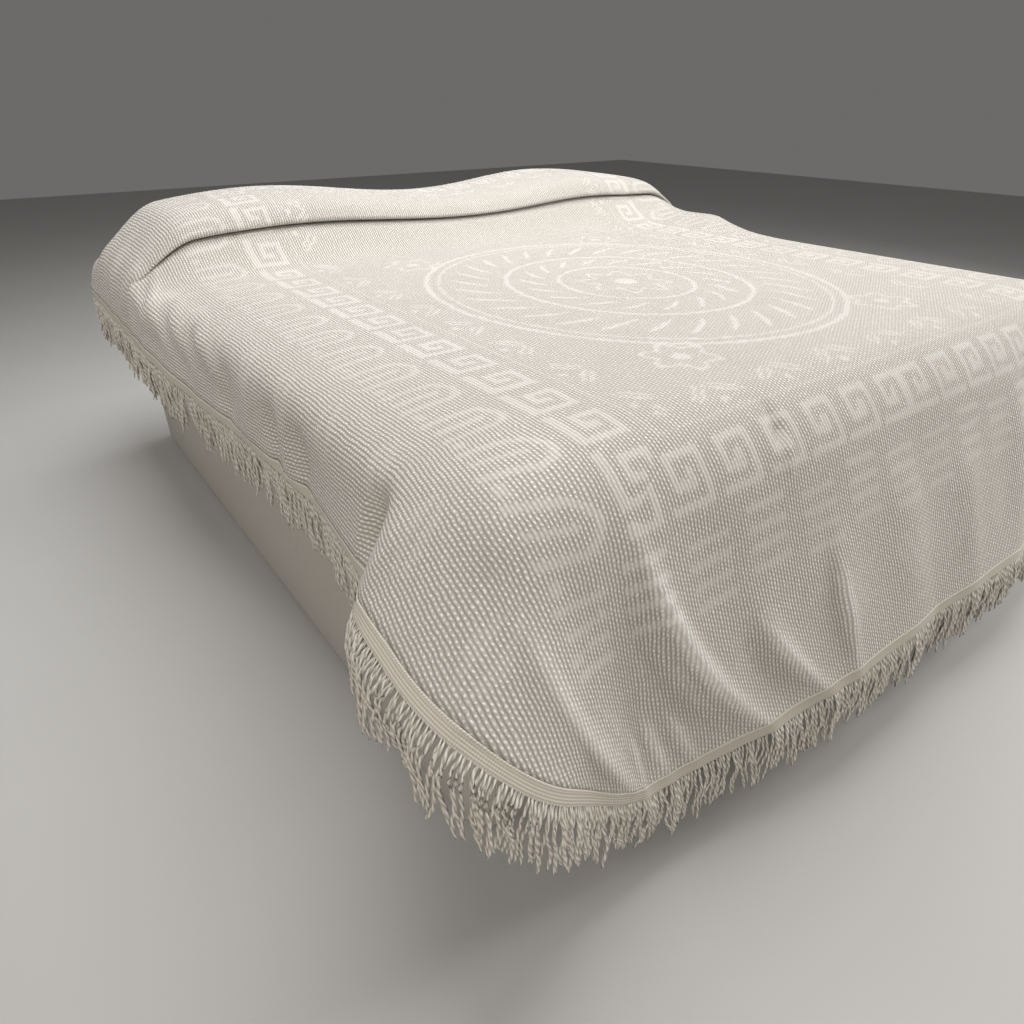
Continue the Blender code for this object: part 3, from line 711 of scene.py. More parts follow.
def ladder(d, t, foot, crown, period):
    """Groups of bars along the band, neighbouring groups half a step apart."""
    group = (t * (2.0 / period)).floor()
    x = t.wrap(period / 2) - period / 4
    step = (crown - foot) / RUNGS
    lifted = d - foot + group.wrap(2.0) * (step / 2)
    bars = lifted.wrap(step).below(step * RUNG_SHARE)
    return bars * abs(x).below(period * RUNG_HALF) * d.near((foot + crown) / 2, (crown - foot) / 2)


Bar = namedtuple("Bar", "column row half_columns half_rows")
KEY_BARS = (Bar(0.0, 2.5, 0.5, 3.0), Bar(2.0, 5.0, 2.5, 0.5), Bar(4.0, 3.5, 0.5, 2.0),
            Bar(3.0, 2.0, 1.5, 0.5), Bar(2.0, 2.5, 0.5, 1.0))
KEY_GAP = 6.0


def square_key(d, t, outer, step, cells):
    """A square key that winds in and out: a broken base line and bars on a small chart of cells."""
    i = (t.wrap(step * cells) * (1.0 / step)).floor()
    j = ((d - outer) * (1.0 / step)).floor()
    key = j.near(0.0, 0.5) * (1.0 - i.near(KEY_GAP, 0.5))
    for bar in KEY_BARS:
        key = key.most(i.near(bar.column, bar.half_columns) * j.near(bar.row, bar.half_rows))
    return key


PAIR_SIDE, PAIR_LEAN, PAIR_LONG, PAIR_WIDE = 0.028, -0.75, 0.036, 0.0120
PAIR_DOT, PAIR_DOT_DROP = 0.0090, 0.030


def leaf_pairs(d, t, middle, period):
    """Two leaves that lean together over a dot, repeated along the band."""
    x = t.wrap(period) - period / 2
    pair = leaf(abs(x) - PAIR_SIDE, d - middle, PAIR_LEAN, PAIR_LONG, PAIR_WIDE)
    return pair.most(hypot(x, d - middle + PAIR_DOT_DROP).below(PAIR_DOT))


PETAL_WAVE, PETAL_REACH, PETAL_LINE, EYE = 0.16, 0.80, 0.0062, 0.24


def rosette(x, y, radius, petals):
    """A flower of round petals about a small solid eye."""
    distance = hypot(x, y)
    edge = (y.bearing(x) * petals).sin() * (radius * PETAL_WAVE) + radius * PETAL_REACH
    return distance.near(edge, PETAL_LINE).most(distance.below(radius * EYE))


# %% The whole design
MEDALLION_B = -0.310
MEDALLION_LONG = 1.09
FAINT = 0.40
RINGS = ((0.480, 0.0066), (0.452, 0.0036), (0.288, 0.0060), (0.160, 0.0056))
Wreath = namedtuple("Wreath", "radius leaves length width")
WREATHS = (Wreath(0.374, 30.0, 0.046, 0.11), Wreath(0.224, 18.0, 0.032, 0.12))
HEART_RADIUS, HEART_PETALS = 0.112, 8.0
QUARTER_A, QUARTER_B, QUARTER_RADIUS, QUARTER_PETALS = 0.330, 0.480, 0.074, 6.0


def medallion(a, b):
    """Rings, two wreaths and a rosette about the bed's middle, a little longer than wide."""
    along = (b - MEDALLION_B) * (1.0 / MEDALLION_LONG)
    distance = hypot(a, along)
    angle = along.bearing(a)
    drawn = rosette(a, along, HEART_RADIUS, HEART_PETALS)
    for radius, half in RINGS:
        drawn = drawn.most(ring(distance, radius, half))
    for leaves in WREATHS:
        drawn = drawn.most(wreath(angle, distance, *leaves))
    return drawn


# %% The bands, from the hem inwards
SLANTED_D, SLANTED_PERIOD, SLANTED_LEAN, SLANTED_LONG, SLANTED_WIDE = 0.128, 0.180, 1.05, 0.060, 0.0235
BAND_FOOT, LADDER_CROWN, LADDER_PERIOD, ARCH_CROWN, ARCH_PERIOD = 0.222, 0.346, 0.250, 0.300, 0.125
KEY_OUTER, KEY_CELL, KEY_CELLS = 0.372, 0.0152, 7.0
LINE_D, LINE_HALF = 0.492, 0.0036
PAIRS_D, PAIRS_PERIOD = 0.545, 0.165


def design(a, b):
    """1 where the yarn floats and 0 where it is tufted, for a tuft whose middle is (a, b): d is the distance
    from the nearest edge and t the place along it."""
    from_side = HEM_A - abs(a)
    from_end = (b + HEM_B).least(HEAD_B - b)
    on_side = from_side.below(from_end)
    d = from_side.least(from_end)
    t = mix(on_side, abs(a), b)
    bands = mix(on_side, ladder(d, t, BAND_FOOT, LADDER_CROWN, LADDER_PERIOD),
                arches(d, t, BAND_FOOT, ARCH_CROWN, ARCH_PERIOD))
    slanted = leaf(t.wrap(SLANTED_PERIOD) - SLANTED_PERIOD / 2, d - SLANTED_D, SLANTED_LEAN, SLANTED_LONG,
                   SLANTED_WIDE)
    bands = bands.most(slanted * FAINT).most(square_key(d, t, KEY_OUTER, KEY_CELL, KEY_CELLS))
    bands = bands.most(leaf_pairs(d, t, PAIRS_D, PAIRS_PERIOD)).most(d.near(LINE_D, LINE_HALF) * FAINT)
    quarters = rosette(abs(a) - QUARTER_A, abs(b - MEDALLION_B) - QUARTER_B, QUARTER_RADIUS, QUARTER_PETALS)
    return bands.most(medallion(a, b)).most(quarters)


# %% The cotton of the cloth
YARN = (0.860, 0.838, 0.795)
# GAP is painted shade: the dark of the gaps between ribs and loops, where shade falls.
GAP = (0.290, 0.258, 0.212)
TUFT_HEIGHT = 0.0019
TUFT_WIDE, TUFT_LONG = 0.31, 0.33
LEAST_REACH, MORE_REACH = 0.85, 0.30
RIB_SHARE, DOME_SHARE, MORE_DOME, DOME_POWER = 0.44, 0.36, 0.46, 0.80
FLOAT_SHARE, FLOAT_RIB = 0.70, 0.30
# Float levels on the level top and the drops; they also set the colour, a painted light on the top and painted
# shade on the drops.
FLOAT_LIT_TOP, FLOAT_SHADED_DROP = 0.38, 0.27
LEVEL_FROM, LEVEL_TO = 0.26, 0.42
STRAY, STRAY_SCALE, STRAY_ALONG = 0.0034, 90.0, 1.4
SWAY, SWAY_SCALE = 0.0060, 14.0
FIBRE, FIBRE_SCALE, FIBRE_ACROSS = 0.34, 520.0, 2.4
WEAR, WEAR_SCALE = 0.30, 5.0
# Strength of the painted highlight along the crests of the creases.
CREST_HIGHLIGHT = 0.48
OTHER_CELLS = 71.0


def cotton_cloth():
    """Ribs, domes and floats as one height field, which also runs the colour from painted shade in the gaps to
    the yarn. The tufts stray a little from their grid, floats lie lower and darker on the drops than on the
    level top, a painted shade and light by place, and a painted highlight lightens the crests of the creases."""
    made, tree, shader = start_material("tufted_cotton", roughness=0.90, sheen=0.10)
    a, b = read_map(tree, "cloth")
    stray_a = (noise(a, b, 0.0, scale=STRAY_SCALE, detail=1.0) - 0.5) * STRAY
    stray_b = (noise(a, b, 3.0, scale=STRAY_SCALE, detail=1.0) - 0.5) * STRAY
    sway = (noise(a, b, 6.0, scale=SWAY_SCALE, detail=1.0) - 0.5) * SWAY
    tuft = tuft_grid(a + stray_a + sway, b + stray_b * STRAY_ALONG)
    reach = cell_chance(tuft.column, tuft.row) * MORE_REACH + LEAST_REACH
    fullness = cell_chance(tuft.column + OTHER_CELLS, tuft.row) * MORE_DOME + DOME_SHARE
    rib = (tuft.off_a * math.pi).cos()
    from_middle = hypot(tuft.off_a * (1.0 / TUFT_WIDE), tuft.off_b / (reach * TUFT_LONG))
    dome = (1.0 - from_middle * from_middle).most(0.0).power(DOME_POWER)
    loops = rib * RIB_SHARE + dome * fullness
    # Floats lie lower on the drops than on the level top, and the colour follows the height: painted shade on
    # the drops, painted light on the top.
    level = (HEM_A - abs(a)).least(b + HEM_B).ramp(LEVEL_FROM, LEVEL_TO)
    strand = rib * FLOAT_RIB + mix(level, FLOAT_SHADED_DROP, FLOAT_LIT_TOP)
    fibre = noise(a * FIBRE_ACROSS, b, 0.0, scale=FIBRE_SCALE, detail=3.0) - 0.5
    floats = design(tuft.middle_a, tuft.middle_b) * FLOAT_SHARE
    height = mix(floats, loops, strand) + fibre * FIBRE
    wear = (noise(a, b, 0.0, scale=WEAR_SCALE, detail=4.0) - 0.5) * WEAR + 1.0
    # The colour share: height, random tone, and the painted highlight on the crease crests.
    shade = height * wear + read_value(tree, "crest_highlight") * CREST_HIGHLIGHT
    # The colour runs from GAP to YARN with the height, so the low gaps carry painted shade.
    finish_surface(shader, colour_between(shade, GAP, YARN), height, TUFT_HEIGHT)
    return made


cloth_cotton = cotton_cloth()
print("tufts across and along:", round(2 * HEM_A / PITCH_ACROSS), round((HEM_B + HEAD_B) / PITCH_ALONG))

# %% [markdown]
# ## The cloth
# The sheet is a grid on the drape, close together where the cloth turns, folds or tucks and wider apart on
# the level top. A Solidify modifier gives it its thickness outward from the underside, so that it lies on
# the mattress exactly where the solid does.

# %% The cloth's grid
CORNER_ROWS = 66
Run = namedtuple("Run", "start end spacing")
ROW_SPACING = (
    Run(-(HEM_B - CORNER), -0.800, 0.0084),
    Run(-0.800, ROLL_START, 0.0240),
    Run(ROLL_START, ROLL_START + 0.196, 0.0120),
    Run(ROLL_START + 0.196, ROLL_START + 0.390, 0.0048),
    Run(ROLL_START + 0.390, HEAD_B, 0.0130),
)
COLUMNS_LEFT = (Run(0.0, 0.240, 0.0240), Run(0.240, 0.760, 0.0060), Run(0.760, 1.0, 0.0088))
COLUMNS_RIGHT = (Run(0.0, 0.560, 0.0240), Run(0.560, 1.0, 0.0120))
CORNER_DRAW = ((0.0, 0.0), (14.0, 19.0), (30.0, 38.0), (45.0, 53.0), (58.0, 64.5), (72.0, 76.0), (90.0, 90.0))


def filled(runs):
    """Evenly filled numbers through each run, its last end included once."""
    parts = [np.linspace(run.start, run.end, math.ceil((run.end - run.start) / run.spacing), endpoint=False)
             for run in runs]
    return np.concatenate(parts + [[runs[-1].end]])


def woven_place(a, b):
    """Where the weave really lies on the smooth drape: round a foot corner the cloth is drawn towards the
    foot, so the angle about the flat part's corner is read from a table, at the same distance from it."""
    over_side = np.maximum(np.abs(a) - FLAT_A, 0.0)
    over_foot = np.maximum(-b - FLAT_B, 0.0)
    run = np.hypot(over_side, over_foot)
    angles, drawn = np.array(CORNER_DRAW).T
    turn = np.radians(through(angles, drawn, np.degrees(np.arctan2(over_foot, over_side))))
    in_corner = (over_side > 0) & (over_foot > 0)
    woven_a = np.where(in_corner, np.sign(a) * (FLAT_A + run * np.cos(turn)), a)
    woven_b = np.where(in_corner, -FLAT_B - run * np.sin(turn), b)
    return np.stack([woven_a, woven_b], -1)


def add_spread():
    """Rows round the foot corners by angle, then by the runs; columns as shares of the half width."""
    angles = np.radians(np.linspace(90.0, 0.0, CORNER_ROWS, endpoint=False))
    rows = np.concatenate([-(HEM_B - CORNER) - CORNER * np.sin(angles), filled(ROW_SPACING)])
    shares = np.concatenate([-filled(COLUMNS_LEFT)[:0:-1], filled(COLUMNS_RIGHT)])
    b = np.repeat(rows[:, None], len(shares), 1)
    a = hem_half(b) * shares
    faces = grid_faces(len(rows), len(shares))
    # Painted highlight: a share from 0 to 1 along the crests of the creases, kept on the points for the
    # colour.
    crest_highlight = np.clip(fold_height(a, b, CREASES) / CREASES[0].height, 0.0, 1.0)
    made = add_piece("spread_cloth", drape(a, b), faces, cloth_cotton, [("cloth", woven_place(a, b))],
                     [("crest_highlight", crest_highlight)])
    thick = made.modifiers.new("thickness", "SOLIDIFY")
    thick.thickness = SHEET
    thick.offset = 1.0
    return made


spread_cloth = add_spread()
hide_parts("spread")

# %% [markdown]
# ## The fringe's heading
# The fringe is bought by the length: a narrow woven tape, 22 mm wide, with a raised cord along its upper
# edge where it is stitched to the cloth, and the cords hang from its lower edge. A strip could be cut from
# the cloth's grid, but a section carried along the hem is simpler and follows every fold. The tape's ribs
# and picks are far smaller than its mesh, so the material makes them.

# %% The path of the hem
TAPE_WIDTH = 0.022
TAPE_GAP = 0.0005
SIDE_RUN = HEAD_B + HEM_B - CORNER
ARC_RUN = CORNER * math.pi / 2
FOOT_RUN = 2 * (HEM_A - CORNER)
EDGE_RUN = 2 * (SIDE_RUN + ARC_RUN) + FOOT_RUN


def edge_point(s, out):
    """Flat-cloth (a, b) at s metres along the edge path, out metres beyond the edge."""
    half = EDGE_RUN / 2
    sign = np.where(s < half, -1.0, 1.0)
    s = half - np.abs(s - half)
    round_angle = np.clip((s - SIDE_RUN) / CORNER, 0.0, math.pi / 2)
    a = HEM_A - CORNER + (CORNER + out) * np.cos(round_angle)
    b = -(HEM_B - CORNER) - (CORNER + out) * np.sin(round_angle)
    b = np.where(s < SIDE_RUN, HEAD_B - s, b)
    a = a - np.maximum(s - SIDE_RUN - ARC_RUN, 0.0)
    return sign * a, b


# %% The tape's cotton
TAPE_LIGHT = (0.730, 0.685, 0.605)
TAPE_DARK = (0.330, 0.290, 0.230)
TAPE_RIB, TAPE_PICK, WEAVE_SHARES = 0.0034, 0.0040, (0.22, 0.54)
EDGE_TWIST, EDGE_SLANT, EDGE_WIDE = 0.0044, 0.8, 0.0034
EDGE_SHARE, EDGE_LEAST = 0.6, 0.5
TAPE_FIBRE, TAPE_BUMP = 0.25, 0.0006
TAPE_CONTRAST, TAPE_LEAST = 0.80, 0.12


def cotton_tape():
    """Ribs that run across the tape and picks along it, as two waves, and a twisted cord along its top."""
    made, tree, shader = start_material("heading_tape", roughness=0.88, sheen=0.08)
    s, t = read_map(tree, "tape")
    weave = weighed(WEAVE_SHARES, s.wave(TAPE_RIB), t.wave(TAPE_PICK))
    edge = (s + t * EDGE_SLANT).wave(EDGE_TWIST) * EDGE_SHARE + EDGE_LEAST
    fibre = noise(s, t, 0.0, scale=900.0, detail=2.0) - 0.5
    height = mix(t.below(EDGE_WIDE), weave, edge) + fibre * TAPE_FIBRE
    # Painted shade: the colour follows the height, so the weave's grooves and the edge cord's twist are
    # darker.
    shade = height * TAPE_CONTRAST + TAPE_LEAST
    finish_surface(shader, colour_between(shade, TAPE_DARK, TAPE_LIGHT), height, TAPE_BUMP)
    return made


heading_cotton = cotton_tape()

# %% The tape
TAPE_SECTION = np.array([
    (0.0000, 0.0004), (0.0000, 0.0022), (0.0008, 0.0033), (0.0018, 0.0036), (0.0028, 0.0032),
    (0.0036, 0.0024), (0.0060, 0.0023), (0.0130, 0.0023), (0.0190, 0.0022), (0.0215, 0.0019),
    (0.0220, 0.0011), (0.0215, 0.0004), (0.0110, 0.0004),
])
TAPE_STEP = 0.0085
TAPE_TURN = ((0.0, 16.0), (SIDE_RUN - 0.30, 14.0), (SIDE_RUN - 0.12, 6.0), (SIDE_RUN, 0.0),
             (SIDE_RUN + ARC_RUN, 2.0), (EDGE_RUN / 2, 10.0))


def tape_frame(s):
    """The tape's top edge at s metres along the hem, its direction across and its outward direction. It
    hinges on its seam: its weight turns it in under the cloth by an angle read from a table."""
    top = drape(*edge_point(s, TAPE_GAP))
    across = unit(drape(*edge_point(s, TAPE_GAP + TAPE_WIDTH)) - top)
    out = outward(*edge_point(s, TAPE_GAP + TAPE_WIDTH / 2))
    out = square_to(across, out)
    turn = np.radians(by_table(EDGE_RUN / 2 - np.abs(s - EDGE_RUN / 2), TAPE_TURN))[..., None]
    return top, across * np.cos(turn) - out * np.sin(turn), out * np.cos(turn) + across * np.sin(turn)


def add_heading():
    """The tape's section, places across it and heights above the cloth's underside, carried along the hem."""
    s = np.linspace(SEAT, EDGE_RUN - SEAT, round(EDGE_RUN / TAPE_STEP))
    top, across, out = tape_frame(s)
    points = top[:, None] + across[:, None] * TAPE_SECTION[:, :1] + out[:, None] * TAPE_SECTION[:, 1:]
    pairs = np.stack(np.broadcast_arrays(s[:, None], TAPE_SECTION[:, 0]), -1)
    return add_piece("fringe_heading", points, capped(points), heading_cotton, [("tape", pairs)])


fringe_heading = add_heading()
print("heading for", round(EDGE_RUN, 2), "m of hem")

# %% [markdown]
# ## The cords
# Over a thousand two-ply cords hang from the tape, about 10 cm long, one every 6.4 mm. Each leaves the tape
# along the cloth, bends down within a few centimetres and hangs in small clumps, some longer and some
# shorter. Two plies twisted together show as an oval section that turns as it goes down, so each cord is a
# four-sided oval with a quarter turn from ring to ring: 58 faces, and the beads of a real twist in its
# outline.

# %% The cords' cotton
CORD_LIGHT = (0.800, 0.765, 0.700)
CORD_DARK = (0.300, 0.262, 0.210)
CROWN_PART, CROWN_TOP = 0.7, 0.9
OWN_SHADE, LEAST_SHADE = 0.25, 0.80
FIBRE_APART, FIBRE_STRETCH, OWN_APART = 0.004, 0.5, (3.7, 1.3)
CORD_BUMP = 0.0006


def cotton_cord():
    """Yarn lighter on the plies' crowns and darker in the groove, painted shade as the colour follows the
    height, with fibre along it; each cord has a shade of its own."""
    made, tree, shader = start_material("twisted_cord", roughness=0.92, sheen=0.10)
    crown = read_value(tree, "ply")
    u, v = read_map(tree, "cord")
    fibre = noise(u * FIBRE_APART, v * FIBRE_STRETCH, scale=1500.0, detail=2.0)
    own = noise(u.floor() * OWN_APART[0], u.floor() * OWN_APART[1], scale=1.0, detail=0.0)
    height = crown.ramp(0.0, CROWN_TOP) * CROWN_PART + fibre * (1.0 - CROWN_PART)
    # Painted shade: the groove between the plies is darker because the colour follows the crown's height.
    shade = height * (own * OWN_SHADE + LEAST_SHADE)
    finish_surface(shader, colour_between(shade, CORD_DARK, CORD_LIGHT), height, CORD_BUMP)
    return made


cord_cotton = cotton_cord()

# %% The cords
CORD_SEED = 11
CORD_PITCH = 0.0064
CORD_LENGTH = 0.100
SHORTEST, LONGEST = 0.080, 0.116
CORD_RINGS = 15
PLY_WIDE, PLY_THIN = 0.0030, 0.0021
LEAST_SIZE, MOST_SIZE = 0.85, 1.1
CORD_BEND = 0.42
END_MARGIN, ROOT_BACK, ROOT_OUT = 0.004, 0.0015, 0.0013
CORD_JITTER = 0.3
CLUMP, CLUMP_JITTER = 6.0, 0.9
GATHER = 0.50
CLUMP_LEAN, OWN_LEAN = 0.060, 0.040
CLUMP_SHARE, OWN_SHARE = 0.040, 0.050
LEAST_SWING, MOST_SWING = 0.0010, 0.0034
SWING_SHARES = np.array([1.0, 0.7])
SWING_TURNS, SWING_EASE = 1.4, 0.3
TAPER_AT, TAPER = (0.0, 0.08, 0.9, 1.0), (0.62, 1.0, 0.94, 0.50)


def cord_paths(chance):
    """Middle line and section axes of every cord: it starts along the tape and its direction turns to the
    hanging one over the first part of its length; clumps of neighbours share a lean and a length, and
    their ends gather towards the clump's middle."""
    count = round(EDGE_RUN / CORD_PITCH)
    s = (np.arange(count) + 0.5 + chance.uniform(-CORD_JITTER, CORD_JITTER, count)) * EDGE_RUN / count
    s = np.clip(s, END_MARGIN, EDGE_RUN - END_MARGIN)
    top, leaving, out = tape_frame(s)
    root = top + leaving * (TAPE_WIDTH - ROOT_BACK) + out * ROOT_OUT
    beside = unit(np.cross(out, leaving))
    clump = np.floor(np.arange(count) / CLUMP + chance.uniform(0, CLUMP_JITTER, count)).astype(int)
    middle = (np.bincount(clump, s) / np.maximum(np.bincount(clump), 1))[clump]
    ahead = unit(tape_frame(s + 2 * PROBE)[0] - top)
    shared = chance.normal(0.0, 1.0, (clump.max() + 1, 3))[clump]
    own = chance.normal(0.0, 1.0, (count, 3))
    hanging = np.tile([0.0, 0.0, -1.0], (count, 1))
    hanging += ahead * ((middle - s) * GATHER / CORD_LENGTH)[:, None]
    hanging[:, :2] += CLUMP_LEAN * shared[:, :2] + OWN_LEAN * own[:, :2]
    length = CORD_LENGTH * (1.0 + CLUMP_SHARE * shared[:, 2] + OWN_SHARE * own[:, 2])
    return root, leaving, beside, unit(hanging), np.clip(length, SHORTEST, LONGEST)


def add_cords():
    """Four-sided oval rings along each path, a quarter turn apart, narrowed at the root and the tip."""
    chance = np.random.default_rng(CORD_SEED)
    root, leaving, beside, hanging, length = cord_paths(chance)
    count = len(root)
    u = np.linspace(0.0, 1.0, CORD_RINGS)
    turned = smooth(u / CORD_BEND)[None, :, None]
    heading = unit(leaving[:, None] * (1 - turned) + hanging[:, None] * turned)
    steps = heading[:, :-1] * (length / (CORD_RINGS - 1))[:, None, None]
    line = np.concatenate([root[:, None], root[:, None] + np.cumsum(steps, 1)], 1)
    phase = chance.uniform(0, 2 * math.pi, (count, 2))
    swing = chance.uniform(LEAST_SWING, MOST_SWING, (count, 2)) * SWING_SHARES
    side = square_to(heading, beside[:, None])
    back = np.cross(side, heading)
    for axis, k in ((side, 0), (back, 1)):
        start = phase[:, k, None]
        wave = np.sin(2 * math.pi * SWING_TURNS * u + start) - np.sin(start)
        line = line + axis * (wave * smooth(u / SWING_EASE) * swing[:, k, None])[..., None]
    taper = np.interp(u, TAPER_AT, TAPER)
    spin = (phase[:, :1] + np.arange(CORD_RINGS) * math.pi / 2)[..., None]
    first = (np.cos(spin) * side + np.sin(spin) * back)[:, :, None]
    second = (np.cos(spin) * back - np.sin(spin) * side)[:, :, None]
    wide = np.array([PLY_WIDE, 0.0, -PLY_WIDE, 0.0])[:, None]
    thin = np.array([0.0, PLY_THIN, 0.0, -PLY_THIN])[:, None]
    size = taper[:, None, None] * chance.uniform(LEAST_SIZE, MOST_SIZE, (count, 1, 1, 1))
    points = line[:, :, None] + size * (first * wide + second * thin)
    corners = 4 * CORD_RINGS
    ends = np.array([[3, 2, 1, 0], range(corners - 4, corners)])
    one = np.concatenate([grid_faces(CORD_RINGS, 4, closed=True), ends])[:, [0, 3, 2, 1]]
    faces = (one[None] + (np.arange(count) * corners)[:, None, None]).reshape(-1, 4)
    ply = np.tile([1.0, 0.0, 1.0, 0.0], count * CORD_RINGS)
    own = np.repeat(np.arange(count) + 0.5, corners)
    down = np.repeat((u * length[:, None]).ravel(), 4)
    pairs = np.stack([own, down], -1)
    print(count, "cords of", len(one), "faces")
    return add_piece("fringe_cords", points, faces, cord_cotton, [("cord", pairs)], [("ply", ply)])


fringe_cords = add_cords()
FRINGE_NODES = ("fringe_left", "fringe_corner_left", "fringe_foot", "fringe_corner_right", "fringe_right")
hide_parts(*FRINGE_NODES)
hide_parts(*FRINGE_NODES)

# %% [markdown]
# ## The mattress
# The mattress hardly shows, but its soft shoulder gives the cloth its curve, and from the head end it is
# seen bare. It is a rounded outline carried up a profile: upright sides with two piped edges, then an
# elliptic shoulder to a flat top.

# %% Outlines and profiles


def outline(half_x, front, back, radius, steps=12):
    """Rounded rectangle in plan, counter-clockwise: quarter circles of the radius, joined straight."""
    middles = np.array([(half_x - radius, back - radius), (radius - half_x, back - radius),
                        (radius - half_x, front + radius), (half_x - radius, front + radius)])
    angles = np.radians(np.arange(4)[:, None] * 90.0 + np.linspace(0.0, 90.0, steps))
    return (middles[:, None] + radius * np.stack([np.cos(angles), np.sin(angles)], -1)).reshape(-1, 2)


def lofted(rings):
    """Points of stacked outlines, each at its own height, as one array of rings."""
    return np.stack([np.column_stack([plan, np.full(len(plan), height)]) for plan, height in rings])


# %% The mattress's ticking
TICKING_LIGHT = (0.800, 0.795, 0.770)
TICKING_DARK = (0.560, 0.550, 0.520)
TWILL, QUILT, QUILT_TOP = 0.0028, 0.085, 0.5
TICKING_RELIEF, TICKING_SHADE = (0.06, 0.8, 0.08), (0.25, 0.25, 0.5)
TICKING_BUMP = 0.0030


def ticking():
    """Plain close twill with soft quilting swells, read from the object's own place."""
    made, tree, shader = start_material("plain_ticking", roughness=0.82, sheen=0.05)
    x, y, z = read_place(tree)
    twill = (x + y + z).wave(TWILL)
    quilt = ((x + y).ribs(QUILT) * (x - y).ribs(QUILT)).ramp(0.0, QUILT_TOP)
    speck = noise(x, y, z, scale=180.0, detail=3.0)
    height = weighed(TICKING_RELIEF, twill, quilt, speck)
    # Painted shade: the colour follows the twill's ribs and the quilting's swells, so their grooves and
    # hollows are darker; the speck is tone at random.
    shade = weighed(TICKING_SHADE, twill, quilt, speck)
    finish_surface(shader, colour_between(shade, TICKING_DARK, TICKING_LIGHT), height, TICKING_BUMP)
    return made


mattress_ticking = ticking()

# %% The mattress body and its piping
SHOULDER_SIDE, SHOULDER_FOOT, SHOULDER_HEAD, SHOULDER_DROP = 0.205, 0.155, 0.020, 0.065
SHOULDER_STEPS, TOP_RADIUS = 13, 0.030
MATTRESS_CLEAR = 0.0022
LOW_EDGE = ((0.030, 0.0), (0.012, 0.004), (0.004, 0.014), (0.002, 0.030))
SIDE_INSET, SIDE_TOP = 0.001, 0.46
PIPING, PIPING_INSET, PIPING_RISE, PIPING_TOP = 0.0045, 0.003, 0.034, 0.545


def mattress_outline(inset, radius=BED_CORNER):
    """The mattress's plan, drawn in by the inset."""
    return outline(BED_HALF_WIDTH - inset, BED_FOOT + inset, BED_HEAD - inset, radius)


def add_mattress():
    """Bottom rounding, upright sides and an elliptic shoulder, a little inside the solid."""
    rings = [(mattress_outline(inset), BASE_HEIGHT + SEAT + rise) for inset, rise in LOW_EDGE]
    rings.append((mattress_outline(SIDE_INSET), SIDE_TOP))
    for angle in np.radians(np.linspace(0.0, 90.0, SHOULDER_STEPS)):
        inset = 1 - math.cos(angle)
        height = BED_TOP - SEAT - SHOULDER_DROP * (1 - math.sin(angle))
        half = BED_HALF_WIDTH - MATTRESS_CLEAR - SHOULDER_SIDE * inset
        foot = BED_FOOT + MATTRESS_CLEAR + SHOULDER_FOOT * inset
        radius = BED_CORNER - (BED_CORNER - TOP_RADIUS) * inset
        rings.append((outline(half, foot, BED_HEAD - MATTRESS_CLEAR - SHOULDER_HEAD * inset, radius), height))
    points = lofted(rings)
    return add_piece("mattress_body", points, capped(points), mattress_ticking)


def add_piping(name, plan, height, material, sides=8):
    """A round cord that follows a closed outline at one height."""
    ahead = unit(np.roll(plan, -1, 0) - np.roll(plan, 1, 0))
    out = np.stack([ahead[:, 1], -ahead[:, 0]], -1)
    angle = np.arange(sides) * 2 * math.pi / sides
    flat = plan[:, None] + out[:, None] * (PIPING * np.cos(angle))[:, None]
    level = np.broadcast_to(height + PIPING * np.sin(angle), flat.shape[:2])
    points = np.concatenate([flat, level[..., None]], -1)
    faces = grid_faces(len(plan) + 1, sides, closed=True) % (len(plan) * sides)
    return add_piece(name, points, faces[:, ::-1], material)


mattress_body = add_mattress()
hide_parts("mattress")
piped = mattress_outline(PIPING_INSET)
piping_low = add_piping("mattress_piping_low", piped, BASE_HEIGHT + PIPING_RISE, mattress_ticking)
piping_high = add_piping("mattress_piping_high", piped, PIPING_TOP, mattress_ticking)

# %% [markdown]
# ## The base
# The base is hidden in the photograph, so it is the plainest common kind: an upholstered box down to the
# floor with a piped top edge. Its cloth is a coarse plain weave.

# %% The base's upholstery
BASE_LIGHT = (0.560, 0.530, 0.480)
BASE_DARK = (0.330, 0.305, 0.265)
BASE_YARN, BASE_BUMP = 0.0024, 0.0007
SLUB_LEVEL, SLUB_UPRIGHT, BASE_RELIEF = 0.3, 2.0, (0.7, 0.3)
BASE_FROM, BASE_TO = 0.1, 0.9


def upholstery():
    """Over-and-under weave from the product of two rows of ribs, with slubs."""
    made, tree, shader = start_material("plain_upholstery", roughness=0.90, sheen=0.08)
    x, y, z = read_place(tree)
    weave = (x + y).ribs(BASE_YARN) * z.ribs(BASE_YARN)
    slub = noise(x * SLUB_LEVEL, y * SLUB_LEVEL, z * SLUB_UPRIGHT, scale=240.0, detail=3.0)
    height = weighed(BASE_RELIEF, weave, slub)
    # Painted shade: the colour follows the height, so the weave's grooves are darker.
    shade = height.ramp(BASE_FROM, BASE_TO)
    finish_surface(shader, colour_between(shade, BASE_DARK, BASE_LIGHT), height, BASE_BUMP)
    return made


base_cloth = upholstery()

# %% The base
BASE_RADIUS = 0.060
BASE_LEVELS = ((0.010, 0.0), (0.003, 0.003), (0.0, 0.012), (0.0, 0.120), (0.0, 0.310),
               (0.003, BASE_HEIGHT - 0.006), (0.016, BASE_HEIGHT))
BASE_PIPED, PIPED_DROP = 0.002, 0.0075


def base_outline(inset):
    """The base's plan, drawn in by the inset."""
    return outline(BASE_HALF[0] - inset, -BASE_HALF[1] + inset, BASE_HALF[1] - inset, BASE_RADIUS)


def add_base():
    """Eased bottom edge, upright sides and eased top."""
    points = lofted([(base_outline(inset), height) for inset, height in BASE_LEVELS])
    return add_piece("bed_base_box", points, capped(points), base_cloth)


